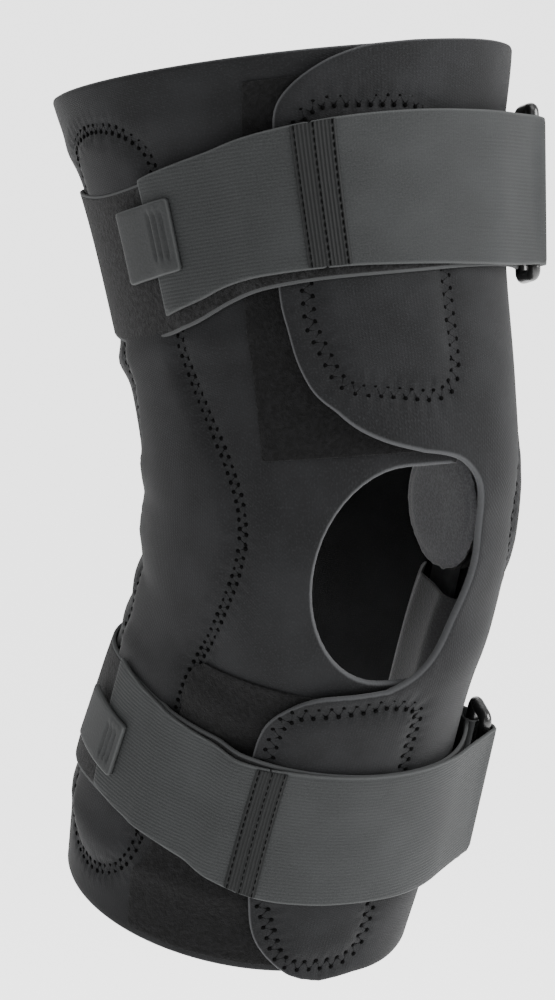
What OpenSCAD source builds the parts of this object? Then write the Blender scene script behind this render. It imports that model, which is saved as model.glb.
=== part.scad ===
// Hinged wraparound knee brace, bent as it sits on a standing leg.
// Millimetres. Origin at the knee centre, midway between the two side hinges.
// +Z is up, the kneecap faces -Y, and -X is the outer (lateral) side of the leg.

/* [Sleeve] */
// Reach of the sleeve above the knee centre
thigh_reach = 156; // [146:1:158]
// Reach of the sleeve below the knee centre
calf_reach = 151; // [146:1:153]
// Thickness of the neoprene sheet
neoprene_t = 3.5; // [2.5:0.1:3.5]
// Backward lean of the thigh half at rest
thigh_lean = 12.5; // [10:0.5:15]
// Forward lean of the calf half at rest, top to the front
calf_lean = 21.5; // [18:0.5:24]
// Half length of the bend between the two halves
bend_half = 32; // [30:1:36]

/* [Opening over the kneecap] */
// Angle of the opening's middle, towards the outer side
opening_turn = 8; // [5:0.5:12]
// Half width of the opening as an angle round the leg
opening_half_turn = 28.7; // [24:0.1:30]
// Highest point of the opening above the knee centre
opening_top = 19; // [17:0.5:20]
// Lowest point of the opening below the knee centre
opening_bottom = 31; // [28:0.5:32]

/* [Straps] */
// Thickness of the strap webbing
strap_t = 1.4; // [1:0.1:1.5]
// Wire radius of the strap rings
ring_wire_r = 2.3; // [2:0.1:2.5]
// Distance between the two long bars of a ring
ring_gap = 12; // [11:0.5:13]
// Width of the webbing that holds a ring
keeper_w = 44; // [30:1:46]

/* [Hinges] */
// Distance between the two pivots of a hinge
pivot_gap = 21; // [21:0.5:24]
// Number of teeth that a full gear would have
gear_teeth = 14; // [14:2:14]
// Play between meshing teeth
backlash = 0.25; // [0.2:0.01:0.35]
// Thickness of a hinge bar
bar_t = 2.2; // [1.8:0.1:2.4]
// Width of a hinge bar
bar_w = 14; // [12:0.5:15]
// Thickness of a hinge plate
plate_t = 1; // [0.8:0.1:1.2]
// Half width of a hinge plate
plate_half_w = 13; // [12.6:0.1:13.2]
// Shank radius of a hinge rivet
rivet_r = 3; // [2.5:0.1:3.2]
// Radial play of a bar on its rivet
rivet_play = 0.06; // [0.03:0.01:0.09]

/* [Hidden] */

neoprene_colour = [0.13, 0.13, 0.14];
loop_colour = [0.06, 0.06, 0.06];
hook_colour = [0.2, 0.2, 0.2];
webbing_colour = [0.3, 0.31, 0.31];
plastic_colour = [0.09, 0.09, 0.09];
metal_colour = [0.72, 0.73, 0.75];
foam_colour = [0.35, 0.35, 0.37];

// ---- Form of the leg --------------------------------------------------
// Sections of the sleeve's outer face, every station_gap along the leg from the top:
// half width, half depth, and how far the section's middle lies behind and beside the axis.
station_top = 160;
station_gap = 40;
half_width = [82, 73.5, 69, 66, 64, 61, 63, 65, 62];
half_depth = [82, 73.5, 69.5, 68, 66.5, 62.5, 63, 64, 60];
middle_back = [0, -1, -3, -5, -3, 2, 7, 8, 3];
middle_side = [0, 0, 0, 0, 0, 0, 0, -1, -4];
turn_step = 7.5;
row_step = 11;

mid_lean = (thigh_lean - calf_lean)/2;
bend_rate = (thigh_lean + calf_lean)/(2*bend_half);
bend_radius = 180/PI/bend_rate;

function mix(a, b, t) = a + (b - a)*t;
function limit(v, low, high) = max(low, min(high, v));
function ramp(t) = let (c = limit(t, 0, 1)) c*c*(3 - 2*c);
function unit(v) = v/norm(v);
function pick(list, i) = list[limit(i, 0, len(list) - 1)];

// Smooth curve through a, b, c and d, between b and c
function curve(a, b, c, d, t) =
    0.5*(2*b + (c - a)*t + (2*a - 5*b + 4*c - d)*t*t + (3*b - a - 3*c + d)*t*t*t);
function smooth(list, steps) =
    [for (i = [0:len(list) - 2]) for (k = [0:steps - 1])
        curve(pick(list, i - 1), list[i], list[i + 1], pick(list, i + 2), k/steps),
     list[len(list) - 1]];
function at_station(list, s) =
    let (u = (station_top - s)/station_gap, i = limit(floor(u), 0, len(list) - 2))
    curve(pick(list, i - 1), list[i], list[i + 1], pick(list, i + 2), u - i);

// The leg's axis is an arc through the knee with a straight line at each end.
function in_bend(s) = limit(s, -bend_half, bend_half);
function lean(s) = mid_lean + bend_rate*in_bend(s);
function axis_y(s) = bend_radius*(cos(mid_lean) - cos(lean(s))) + (s - in_bend(s))*sin(lean(s));
function axis_z(s) = bend_radius*(sin(lean(s)) - sin(mid_lean)) + (s - in_bend(s))*cos(lean(s));

// Point on the sleeve: turn is 0 at the front and grows towards the outer side,
// s is the length along the axis, and out is the height above the sleeve's outer face.
function skin(turn, s, out) =
    let (a = at_station(half_width, s), d = at_station(half_depth, s),
         across = unit([-sin(turn)*d, -cos(turn)*a]),
         x = at_station(middle_side, s) - a*sin(turn) + out*across[0],
         y = at_station(middle_back, s) - d*cos(turn) + out*across[1])
    [x, axis_y(s) + y*cos(lean(s)), axis_z(s) - y*sin(lean(s))];

// ---- Sheets -----------------------------------------------------------
// Closed sheet between two grids of points. Columns run towards the outer side
// while rows run up, or columns run up while rows run towards the inner side.
module sheet(inner, outer, closed = false) {
    rows = len(inner);
    cols = len(inner[0]);
    n = rows*cols;
    span = closed ? cols : cols - 1;
    function at(i, j) = j*cols + i%cols;
    face = [for (j = [0:rows - 2]) for (i = [0:span - 1])
        each [[at(i, j), at(i + 1, j), at(i + 1, j + 1)],
              [at(i, j), at(i + 1, j + 1), at(i, j + 1)]]];
    edge = [for (i = [0:span - 1]) each [[at(i + 1, 0), at(i, 0)],
                                         [at(i, rows - 1), at(i + 1, rows - 1)]],
            if (!closed) for (j = [0:rows - 2])
                each [[at(0, j), at(0, j + 1)], [at(cols - 1, j + 1), at(cols - 1, j)]]];
    polyhedron([for (row = outer) each row, for (row = inner) each row],
               [each face,
                for (f = face) [f[2] + n, f[1] + n, f[0] + n],
                for (e = edge) each [[e[0], e[1], e[1] + n], [e[0], e[1] + n, e[0] + n]]]);
}

// Sheet that lies over a grid of [turn, s] places, between two heights
module patch(grid, low, high, closed = false)
    sheet([for (row = grid) [for (p = row) skin(p[0], p[1], low(p[0]))]],
          [for (row = grid) [for (p = row) skin(p[0], p[1], high(p[0]))]], closed);

// Grid between two edges with the same number of points
function ruled(a, b, steps) =
    [for (j = [0:steps]) [for (i = [0:len(a) - 1]) mix(a[i], b[i], j/steps)]];

// An edge's points moved sideways to one turn, and kept between two heights
function partner(edge, turn, low, high) =
    [for (i = [0:len(edge) - 1]) [turn, limit(edge[i][1], low, high)]];

// ---- Neoprene ---------------------------------------------------------
sleeve_low = function (turn) -neoprene_t;
sleeve_high = function (turn) 0;
// Behind the knee the two rigid halves leave a wedge free, so that they can fold.
fold_slope = 1.19;
fold_start = 3.3;
sleeve_split = 2.4;
opening_half = (opening_top + opening_bottom)/2;
opening_tilt = -0.2;
opening_slit = 1;

function behind(turn, s) =
    at_station(middle_back, s) - at_station(half_depth, s)*cos(turn) - 1.65;
function knee_top(turn) = max(opening_top, fold_slope*behind(turn, 60) - fold_start);
function knee_bottom(turn) = -max(opening_bottom, fold_slope*behind(turn, -75) - fold_start);
function ring_turns() = [for (k = [0:360/turn_step - 1]) k*turn_step];

module thigh_sleeve() {
    rows = round((thigh_reach - opening_top)/row_step);
    low = [for (t = ring_turns()) [t, knee_top(t) + sleeve_split]];
    high = [for (t = ring_turns()) [t, thigh_reach]];
    color(neoprene_colour) patch(ruled(low, high, rows), sleeve_low, sleeve_high, true);
}

module calf_sleeve() {
    rows = round((calf_reach - opening_bottom)/row_step);
    low = [for (t = ring_turns()) [t, -calf_reach]];
    high = [for (t = ring_turns()) [t, knee_bottom(t) - sleeve_split]];
    color(neoprene_colour) patch(ruled(low, high, rows), sleeve_low, sleeve_high, true);
}

// The band round the knee runs from one rim of the opening round the back to the other.
module knee_sleeve() {
    rows = 14;
    cols = 44;
    grid = [for (j = [0:rows])
        let (v = -cos(180*j/rows),
             half = max(opening_slit, opening_half_turn*sqrt(1 - v*v)),
             middle = opening_turn + opening_tilt*opening_half*v)
        [for (i = [0:cols])
            let (t = mix(middle + half, middle - half + 360, i/cols))
            [t, mix(knee_bottom(t), knee_top(t), (v + 1)/2)]]];
    color(neoprene_colour) patch(grid, sleeve_low, sleeve_high);
}

// ---- Flaps and their patches ------------------------------------------
loop_low = function (turn) 0.4;
loop_high = function (turn) 0.85;
hook_low = function (turn) 1.2;
hook_high = function (turn) 1.6;
// The flaps leave the sleeve at the inner side and rise onto the patches.
flap_root = -42;
flap_risen = -14;
function flap_rise(turn) = ramp((turn - flap_root)/(flap_risen - flap_root));
flap_low = function (turn) 0.3 + 1.8*flap_rise(turn);
flap_high = function (turn) 1.3 + 3.7*flap_rise(turn);

thigh_flap_edge = [[-10, 21], [0, 21.5], [16, 24.5], [26, 29], [34, 37], [38, 48], [39.5, 61],
                   [40, 75], [37, 105], [35.5, 125], [35, 136], [29, 144.5], [21, 151],
                   [13, 154.5]];
calf_flap_edge = [[5, -153.5], [12, -150.5], [21, -143], [27, -134], [30.5, -120], [34, -100],
                  [38, -82], [40.4, -68], [40, -53], [34, -43], [26, -37], [13.5, -33.5],
                  [0, -32.5], [-12, -32.2]];
thigh_loop_edge = [[53, 22], [52.5, 45], [51, 73.5], [48, 100], [44, 125], [41, 147]];
calf_loop_edge = [[67.6, -148], [69, -128], [64.5, -115], [69, -62], [70, -45], [66, -39]];
thigh_hook_edge = [[23, 40], [30, 48], [32, 60], [32, 74], [31, 100], [27, 135]];
calf_hook_edge = [[8, -144], [18, -136.6], [25, -123], [30, -95], [35, -65], [34.4, -50]];
patch_root = -8;
patch_steps = 8;

module overlay(edge, turn, low_s, high_s, low, high, colour)
    color(colour)
        let (line = smooth(edge, 2))
        patch(ruled(line, partner(line, turn, low_s, high_s), patch_steps), low, high);

module thigh_flap()
    overlay(thigh_flap_edge, flap_root, 21, 155, flap_low, flap_high, neoprene_colour);
module calf_flap()
    overlay(calf_flap_edge, flap_root, -151, -32, flap_low, flap_high, neoprene_colour);
module thigh_loop_patch()
    overlay(thigh_loop_edge, patch_root, 22, 147, loop_low, loop_high, loop_colour);
module calf_loop_patch()
    overlay(calf_loop_edge, patch_root, -148, -39, loop_low, loop_high, loop_colour);
module thigh_hook_patch()
    overlay(thigh_hook_edge, patch_root, 36, 135, hook_low, hook_high, hook_colour);
module calf_hook_patch()
    overlay(calf_hook_edge, patch_root, -144, -44, hook_low, hook_high, hook_colour);

// ---- Straps and rings -------------------------------------------------
// Each strap goes once round the leg, through its ring, and folds back over itself.
ring_turn = -56;
ring_out = 10;
wire_play = 0.4;
leg_radius = 70;
strap_gap = 0.55;
over_loops = 1.4;
over_flap = 5.4;
on_sleeve = 0.6;

// Height of a strap that leaves a round leg along a tangent
function tangent_out(turn, start, out) =
    (leg_radius + out)/cos(max(0, start - turn)) - leg_radius;
function base_rise(turn) =
    on_sleeve + (over_loops - on_sleeve)*ramp((76 - turn)/5) + (over_flap - over_loops)*ramp((54 - turn)/11);
base_low = function (turn) turn < 0 ? tangent_out(turn, -40, over_flap) : base_rise(turn);
base_high = function (turn) base_low(turn) + strap_t;
return_low = function (turn)
    tangent_out(turn, -35, base_rise(turn) + strap_t + strap_gap);
return_high = function (turn) return_low(turn) + strap_t;
seam_low = function (turn) return_high(turn) + 0.2;
seam_high = function (turn) return_high(turn) + 0.7;
tab_low = function (turn) return_high(min(turn, 90)) + 0.3;
tab_high = function (turn) tab_low(turn) + 1.7;

// Edges of the straps as [turn, s], from the ring towards the outer side
thigh_base_bottom = [[-49, 78], [-20, 77.5], [5, 76.7], [33, 76.5], [51, 74], [70, 67], [95, 65],
                     [125, 73], [160, 80], [200, 81], [240, 79], [276, 78]];
thigh_base_top = [[-49, 130], [-20, 130], [5, 130], [33, 129], [51, 125], [70, 120], [95, 118],
                  [125, 124], [160, 130], [200, 131], [240, 130], [276, 130]];
thigh_return_bottom = [[-56, 79], [-38, 78], [-20, 78], [5, 79.4], [25, 80.5], [50, 79.5],
                       [63, 75.4], [76, 72]];
thigh_return_top = [[-56, 131], [-38, 131], [-19, 131.4], [1, 132], [20, 131.4], [38, 129],
                    [54, 125], [76, 120]];
calf_base_bottom = [[-49, -120], [-20, -119], [5, -118], [31, -116], [50, -114], [72, -110],
                    [95, -109], [125, -114], [160, -120], [200, -120], [240, -120], [276, -120]];
calf_base_top = [[-49, -70], [-20, -68], [5, -67], [31, -66], [50, -64], [72, -62],
                 [95, -60], [125, -65], [160, -71], [200, -71], [240, -71], [276, -70]];
calf_return_bottom = [[-56, -121], [-38, -120], [-23, -120], [-2, -119], [14.5, -119],
                      [31, -118], [53, -112], [72, -109], [92, -106]];
calf_return_top = [[-56, -70], [-38, -68.5], [-20, -67], [0, -66.5], [25, -66.6], [41, -67],
                   [58, -64.6], [80, -61], [100, -58]];
strap_rows = 3;

module webbing(bottom, top, low, high, colour = webbing_colour)
    color(colour) patch(ruled(bottom, top, strap_rows), low, high);

module thigh_strap_base()
    webbing(smooth(thigh_base_bottom, 4), smooth(thigh_base_top, 4), base_low, base_high, loop_colour);
module calf_strap_base()
    webbing(smooth(calf_base_bottom, 4), smooth(calf_base_top, 4), base_low, base_high, loop_colour);

// Frame of a ring: the strap's bar from low to high, and the ways back and outwards
function bar_low(s) = skin(ring_turn, s, ring_out);
function bar_way(s0, s1) = unit(bar_low(s1) - bar_low(s0));
function back_way(s0, s1) =
    let (step = skin(ring_turn - 5, (s0 + s1)/2, ring_out) - skin(ring_turn, (s0 + s1)/2, ring_out),
         w = bar_way(s0, s1))
    unit(step - (step*w)*w);
function out_way(s0, s1) = cross(bar_way(s0, s1), back_way(s0, s1))*-1;

// The fold of a strap round its ring's bar, as rows of points at one radius
fold_angles = [110, 78, 46, 14, -18, -50];
function fold(s0, s1, r) =
    let (t = back_way(s0, s1), n = out_way(s0, s1))
    [for (j = [0:strap_rows])
        let (c = mix(bar_low(s0), bar_low(s1), j/strap_rows))
        [for (i = [len(fold_angles) - 1:-1:0])
            c + r*(t*cos(fold_angles[i]) + n*sin(fold_angles[i]))]];
function skin_rows(grid, out) = [for (row = grid) [for (p = row) skin(p[0], p[1], out(p[0]))]];
function joined(a, b) = [for (j = [0:len(a) - 1]) concat(a[j], b[j])];

// A piece of strap between two turns, where both edges have points at the same turns
function between(edge, from, to, count) =
    let (line = smooth(edge, 6))
    [for (k = [0:count])
        let (t = mix(from, to, k/count),
             i = limit(len([for (p = line) if (p[0] <= t) 1]) - 1, 0, len(line) - 2),
             a = line[i], b = line[i + 1])
        [t, mix(a[1], b[1], (t - a[0])/(b[0] - a[0]))]];

thigh_seam = [20, 31];
calf_seam = [29, 38];
thigh_end_turn = 76;
calf_end_turn = [92, 100];
// Where the folded strap comes down from its ring onto the leg
leaves_ring = -48;
thigh_ring_s = [79, 131];
calf_ring_s = [-121, -70];

module return_part(bottom, top, from, to, count, ring_s) {
    grid = ruled(between(bottom, from, to, count), between(top, from, to, count), strap_rows);
    inside = ring_wire_r + wire_play;
    color(webbing_colour)
        sheet(joined(fold(ring_s[0], ring_s[1], inside), skin_rows(grid, return_low)),
              joined(fold(ring_s[0], ring_s[1], inside + strap_t), skin_rows(grid, return_high)));
}
module end_part(bottom, top, from, to_bottom, to_top, count)
    webbing(between(bottom, from, to_bottom, count), between(top, from, to_top, count),
            return_low, return_high);
module seam_part(bottom, top, seam, inset)
    color(plastic_colour)
        patch(ruled([for (p = between(bottom, seam[0], seam[1], 2)) [p[0], p[1] + inset]],
                    [for (p = between(top, seam[0], seam[1], 2)) [p[0], p[1] - inset]], strap_rows),
              seam_low, seam_high);
module tab_part(from, to, s_low, s_high, slope)
    color(plastic_colour)
        patch(ruled([for (k = [0:4]) [mix(from, to, k/4), s_low + slope*k/4]],
                    [for (k = [0:4]) [mix(from, to, k/4), s_high + slope*k/4]], 3),
              tab_low, tab_high);

seam_play = 0.25;
seam_inset = 0.6;
module thigh_strap_return()
    return_part(thigh_return_bottom, thigh_return_top, leaves_ring, thigh_seam[1] - 5, 15, thigh_ring_s);
module thigh_strap_end()
    end_part(thigh_return_bottom, thigh_return_top, thigh_seam[1] - 5 + seam_play,
             thigh_end_turn, thigh_end_turn, 12);
module thigh_strap_seam() seam_part(thigh_return_bottom, thigh_return_top, thigh_seam, seam_inset);
module thigh_strap_tab() tab_part(66, 86, 86.5, 112, -2);
module calf_strap_return()
    return_part(calf_return_bottom, calf_return_top, leaves_ring, calf_seam[1] - 4, 17, calf_ring_s);
module calf_strap_end()
    end_part(calf_return_bottom, calf_return_top, calf_seam[1] - 4 + seam_play,
             calf_end_turn[0], calf_end_turn[1], 12);
module calf_strap_seam() seam_part(calf_return_bottom, calf_return_top, calf_seam, seam_inset);
module calf_strap_tab() tab_part(84, 108, -98, -77, 2);

// Moves a drawing into a ring's frame: X back round the leg, Y outwards, Z along the bar
module at_ring(s0, s1) {
    t = back_way(s0, s1);
    n = out_way(s0, s1);
    w = bar_way(s0, s1);
    o = bar_low(s0);
    multmatrix([[t[0], n[0], w[0], o[0]], [t[1], n[1], w[1], o[1]], [t[2], n[2], w[2], o[2]]])
        children();
}

ring_drop = 4.2;
ring_spare = 3.2;
module rod(length, r) cylinder(h = length, r = r, $fn = 32);
module corner(x, y, z) translate([x, y, z]) sphere(r = ring_wire_r, $fn = 32);
// Rectangular wire loop: the strap's bar at the origin and the keeper's bar behind it
module ring(s) {
    length = norm(bar_low(s[1]) - bar_low(s[0])) + 2*ring_spare;
    tilt = atan2(-ring_drop, ring_gap);
    reach = norm([ring_gap, ring_drop]);
    color(plastic_colour)
        at_ring(s[0], s[1])
            translate([0, 0, -ring_spare]) rotate([0, 0, tilt]) {
                for (x = [0, reach]) translate([x, 0, 0]) rod(length, ring_wire_r);
                for (z = [0, length]) {
                    translate([0, 0, z]) rotate([0, 90, 0]) rod(reach, ring_wire_r);
                    for (x = [0, reach]) corner(x, 0, z);
                }
            }
}
module thigh_ring() ring(thigh_ring_s);
module calf_ring() ring(calf_ring_s);

// Webbing loop round the ring's rear bar, with a tail sewn to the sleeve
keeper_t = 1.2;
tail_length = 15;
tail_turn = -20;
tail_inset = 0.1;
module keeper(s) {
    length = norm(bar_low(s[1]) - bar_low(s[0]));
    inside = ring_wire_r + wire_play;
    color(loop_colour)
        at_ring(s[0], s[1])
            translate([ring_gap, -ring_drop, (length - keeper_w)/2])
                linear_extrude(keeper_w)
                    difference() {
                        union() {
                            circle(r = inside + keeper_t, $fn = 48);
                            rotate([0, 0, tail_turn])
                                translate([0, -inside - keeper_t + tail_inset])
                                    square([tail_length, 2*keeper_t - tail_inset]);
                        }
                        circle(r = inside, $fn = 48);
                    }
}
module thigh_ring_keeper() keeper(thigh_ring_s);
module calf_ring_keeper() keeper(calf_ring_s);

// ---- Hinges -----------------------------------------------------------
// Each hinge stacks inwards from the outer plate. The two bars carry meshing teeth.
plate_face = 57;
hinge_gap = 0.25;
rivet_head_r = 5;
rivet_head_t = 0.8;
bar_face = plate_face - plate_t - hinge_gap;
inner_plate_face = bar_face - bar_t - hinge_gap;
pitch_r = pivot_gap/2;
tooth_module = pivot_gap/gear_teeth;
tip_r = pitch_r + 0.83*tooth_module;
root_r = pitch_r - 1.07*tooth_module;
base_r = pitch_r*cos(20);
upper_length = 116;
lower_length = 113;
bend_from = 18;
upper_flare = 5.5;
lower_flare = 0;
lug_r = 15.6;
stop_ahead = 10.8;
stop_r = 1.6;
cap_t = 0.6;
cap_length = 16;

function involute(a) = (tan(a) - a*PI/180)*180/PI;
function flank_half(r) =
    let (a = r > base_r ? acos(base_r/r) : 0,
         at_pitch = 90/gear_teeth - backlash/2/pitch_r*180/PI)
    at_pitch + involute(20) - involute(a);
function polar(r, turn) = r*[sin(turn), cos(turn)];
function tooth(turn) =
    let (radii = [root_r, base_r, mix(base_r, tip_r, 0.35), mix(base_r, tip_r, 0.7), tip_r])
    concat([for (r = radii) polar(r, turn - flank_half(r))],
           [for (k = [len(radii) - 1:-1:0]) polar(radii[k], turn + flank_half(radii[k]))]);

// Flat end of a bar, its teeth facing +Y in the drawing, with the stop lug on the -X side
module toothed_head(shift, lug_turn) {
    pitch = 360/gear_teeth;
    turns = [for (k = [-2:2]) (k + shift)*pitch];
    back_from = turns[4] + pitch/2;
    back_to = 360 - lug_turn - lug_span - 5;
    polygon(concat([polar(root_r, -lug_turn - lug_span)],
                   [for (k = [0:2]) polar(lug_r, -lug_turn - lug_span*(1 - k/2))],
                   [polar(root_r, -lug_turn)],
                   [for (t = turns) each tooth(t)],
                   [for (k = [0:12]) polar(root_r, mix(back_from, back_to, k/12))]));
}

// Sets a drawing at a pivot on the outer side: its +Y points to the other pivot,
// its -X to the front of the leg, and its +Z inwards from the given face.
module at_pivot(way, at_lean, face)
    translate([-face, way*pitch_r*sin(mid_lean), way*pitch_r*cos(mid_lean)])
        rotate([-at_lean, 0, 0])
            rotate([90, 0, 90]) {
                if (way > 0) mirror([0, 1, 0]) children();
                else children();
            }

// Straight bar with a round end, grown by a margin all round
module blade(length, from, grow)
    translate([0, 0, -grow])
        linear_extrude(bar_t + 2*grow) {
            translate([-bar_w/2 - grow, -length + bar_w/2])
                square([bar_w + 2*grow, length - bar_w/2 - from]);
            translate([0, -length + bar_w/2]) circle(r = bar_w/2 + grow, $fn = 64);
        }

// The part of a bar past its bend, which flares out with the leg
module flared(way, at_lean, flare)
    at_pivot(way, at_lean, bar_face)
        translate([0, -bend_from, 0]) rotate([flare, 0, 0]) children();

// way is 1 for the upper bar and -1 for the lower one.
module bar(way, bar_lean, shift, length, flare) {
    rest = way*(bar_lean - mid_lean);
    stop_turn = atan2(stop_ahead, pitch_r);
    far = length - bar_w/2;
    bent = [-bend_from - far*cos(flare), -far*sin(flare)];
    thick = bar_t*[-sin(flare), cos(flare)];
    inner_bend = -bend_from - bar_t*tan(flare/2);
    color(metal_colour)
        at_pivot(way, mid_lean, bar_face)
            difference() {
                union() {
                    linear_extrude(bar_t) toothed_head(shift, stop_turn + lug_clear + rest);
                    rotate([0, 0, rest])
                        translate([-bar_w/2, 0, 0]) rotate([90, 0, 90])
                            linear_extrude(bar_w)
                                polygon([[-neck_from, 0], [-bend_from, 0], bent, bent + thick,
                                         [inner_bend, bar_t], [-neck_from, bar_t]]);
                }
                translate([0, 0, -1]) cylinder(h = bar_t + 2, r = rivet_r + rivet_play, $fn = 64);
            }
}

module cap(way, bar_lean, length, flare)
    color(plastic_colour)
        flared(way, bar_lean, flare)
            difference() {
                blade(length, length - cap_length, cap_t);
                blade(length, length - cap_length - 1, cap_play);
            }

// Link drawing: both pivots on Y, origin midway between them
module at_link(face)
    translate([-face, 0, 0]) rotate([-mid_lean, 0, 0]) rotate([90, 0, 90]) children();

module plate(face)
    color(metal_colour)
        at_link(face)
            linear_extrude(plate_t)
                difference() {
                    union() {
                        square([2*plate_half_w, pivot_gap], center = true);
                        for (y = [-pitch_r, pitch_r])
                            translate([0, y]) circle(r = plate_half_w, $fn = 96);
                    }
                    for (y = [-pitch_r, pitch_r])
                        translate([0, y]) circle(r = rivet_r + rivet_fit, $fn = 64);
                }

module rivets() {
    depth = plate_face - inner_plate_face + plate_t;
    color(metal_colour)
        at_link(plate_face)
            for (y = [-pitch_r, pitch_r])
                translate([0, y, 0]) {
                    cylinder(h = depth, r = rivet_r, $fn = 64);
                    for (z = [-rivet_head_t, depth])
                        translate([0, 0, z]) cylinder(h = rivet_head_t, r = rivet_head_r, $fn = 64);
                }
}

module stop_post()
    color(metal_colour)
        at_link(plate_face - plate_t)
            translate([-stop_ahead, 0, 0]) cylinder(h = bar_t + 2*hinge_gap, r = stop_r, $fn = 32);

module condyle_pad()
    color(foam_colour)
        at_link(inner_plate_face - plate_t - rivet_head_t - pad_gap)
            rotate_extrude($fn = 96)
                polygon([[0, 0], [pad_r - 1, 0], [pad_r, 1], [pad_r, pad_t - 1.5],
                         [pad_r - 2, pad_t], [0, pad_t]]);

// Lining that holds the bars against the inside of the sleeve
module pocket(middle, depth, s0, s1) {
    high = function (turn)
        -neoprene_t - 0.3 - depth*(1 - ramp((abs(turn - middle) - pocket_flat)/(pocket_half - pocket_flat)));
    low = function (turn) high(turn) - lining_t;
    rows = round(abs(s1 - s0)/row_step);
    grid = [for (j = [0:rows]) let (s = mix(s0, s1, j/rows))
        [for (i = [-6:6]) [middle + i*pocket_half/6, s]]];
    color(loop_colour) patch(grid, low, high);
}

neck_from = 5;
lug_clear = 7.5;
lug_span = 20;
rivet_fit = 0.02;
cap_play = 0.05;
pad_r = 24;
pad_t = 4;
pad_gap = 0.3;
pocket_half = 20;
pocket_flat = 9;
lining_t = 0.8;
upper_pocket_turn = 95;
lower_pocket_turn = 86;
upper_pocket_depth = 10.8;
lower_pocket_depth = 9.9;
upper_pocket_s = [28.5, 139];
lower_pocket_s = [-142, -28];
tooth_shift = 0.5;

module inner_side() mirror([1, 0, 0]) children();

module upper_bar() bar(1, thigh_lean, 0, upper_length, upper_flare);
module lower_bar() bar(-1, -calf_lean, tooth_shift, lower_length, lower_flare);
module upper_cap() cap(1, thigh_lean, upper_length, upper_flare);
module lower_cap() cap(-1, -calf_lean, lower_length, lower_flare);

module lateral_upper_bar() upper_bar();
module lateral_lower_bar() lower_bar();
module lateral_outer_plate() plate(plate_face);
module lateral_inner_plate() plate(inner_plate_face);
module lateral_rivets() rivets();
module lateral_stop_post() stop_post();
module lateral_condyle_pad() condyle_pad();
module lateral_upper_bar_cap() upper_cap();
module lateral_lower_bar_cap() lower_cap();
module lateral_upper_pocket()
    pocket(upper_pocket_turn, upper_pocket_depth, upper_pocket_s[0], upper_pocket_s[1]);
module lateral_lower_pocket()
    pocket(lower_pocket_turn, lower_pocket_depth, lower_pocket_s[0], lower_pocket_s[1]);

module medial_upper_bar() inner_side() upper_bar();
module medial_lower_bar() inner_side() lower_bar();
module medial_outer_plate() inner_side() plate(plate_face);
module medial_inner_plate() inner_side() plate(inner_plate_face);
module medial_rivets() inner_side() rivets();
module medial_stop_post() inner_side() stop_post();
module medial_condyle_pad() inner_side() condyle_pad();
module medial_upper_bar_cap() inner_side() upper_cap();
module medial_lower_bar_cap() inner_side() lower_cap();
module medial_upper_pocket()
    pocket(-upper_pocket_turn, upper_pocket_depth, upper_pocket_s[0], upper_pocket_s[1]);
module medial_lower_pocket()
    pocket(-lower_pocket_turn, lower_pocket_depth, lower_pocket_s[0], lower_pocket_s[1]);

thigh_sleeve();
knee_sleeve();
calf_sleeve();
thigh_flap();
calf_flap();
thigh_loop_patch();
calf_loop_patch();
thigh_hook_patch();
calf_hook_patch();
thigh_strap_base();
thigh_strap_return();
thigh_strap_end();
thigh_strap_seam();
thigh_strap_tab();
calf_strap_base();
calf_strap_return();
calf_strap_end();
calf_strap_seam();
calf_strap_tab();
thigh_ring();
calf_ring();
thigh_ring_keeper();
calf_ring_keeper();
lateral_upper_bar();
lateral_lower_bar();
lateral_outer_plate();
lateral_inner_plate();
lateral_rivets();
lateral_stop_post();
lateral_condyle_pad();
lateral_upper_bar_cap();
lateral_lower_bar_cap();
lateral_upper_pocket();
lateral_lower_pocket();
medial_upper_bar();
medial_lower_bar();
medial_outer_plate();
medial_inner_plate();
medial_rivets();
medial_stop_post();
medial_condyle_pad();
medial_upper_bar_cap();
medial_lower_bar_cap();
medial_upper_pocket();
medial_lower_pocket();
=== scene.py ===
import math

import bmesh
import bpy
import numpy as np
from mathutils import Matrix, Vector
from mathutils.geometry import delaunay_2d_cdt


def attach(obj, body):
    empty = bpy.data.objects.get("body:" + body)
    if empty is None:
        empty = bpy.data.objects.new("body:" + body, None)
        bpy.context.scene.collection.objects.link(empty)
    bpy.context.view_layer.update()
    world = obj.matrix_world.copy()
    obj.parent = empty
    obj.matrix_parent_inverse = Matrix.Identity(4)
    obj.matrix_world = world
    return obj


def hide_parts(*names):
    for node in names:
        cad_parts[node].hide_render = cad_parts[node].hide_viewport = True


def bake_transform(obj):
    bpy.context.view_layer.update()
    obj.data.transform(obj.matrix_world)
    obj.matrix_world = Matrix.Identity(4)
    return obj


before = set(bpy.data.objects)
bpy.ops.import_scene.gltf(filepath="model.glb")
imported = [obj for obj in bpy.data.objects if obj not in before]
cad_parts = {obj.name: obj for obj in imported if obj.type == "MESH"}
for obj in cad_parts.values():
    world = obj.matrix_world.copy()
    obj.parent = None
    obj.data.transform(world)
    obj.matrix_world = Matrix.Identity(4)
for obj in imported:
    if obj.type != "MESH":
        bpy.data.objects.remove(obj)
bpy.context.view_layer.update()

# Lengths are in millimetres until a mesh is built, and metres from there on.
MM = 0.001


# ---- View, light and floor ---------------------------------------------
AZIMUTH = math.radians(-31)
ELEVATION = math.radians(8)
DISTANCE = 2.65
LENS = 271
AIM_LEFT = 0.0165
AIM_UP = 0.0053
FLOOR_DROP = 0.55


def direction(azimuth, elevation):
    flat = math.cos(elevation)
    return Vector((math.sin(azimuth) * flat, -math.cos(azimuth) * flat, math.sin(elevation)))


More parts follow.
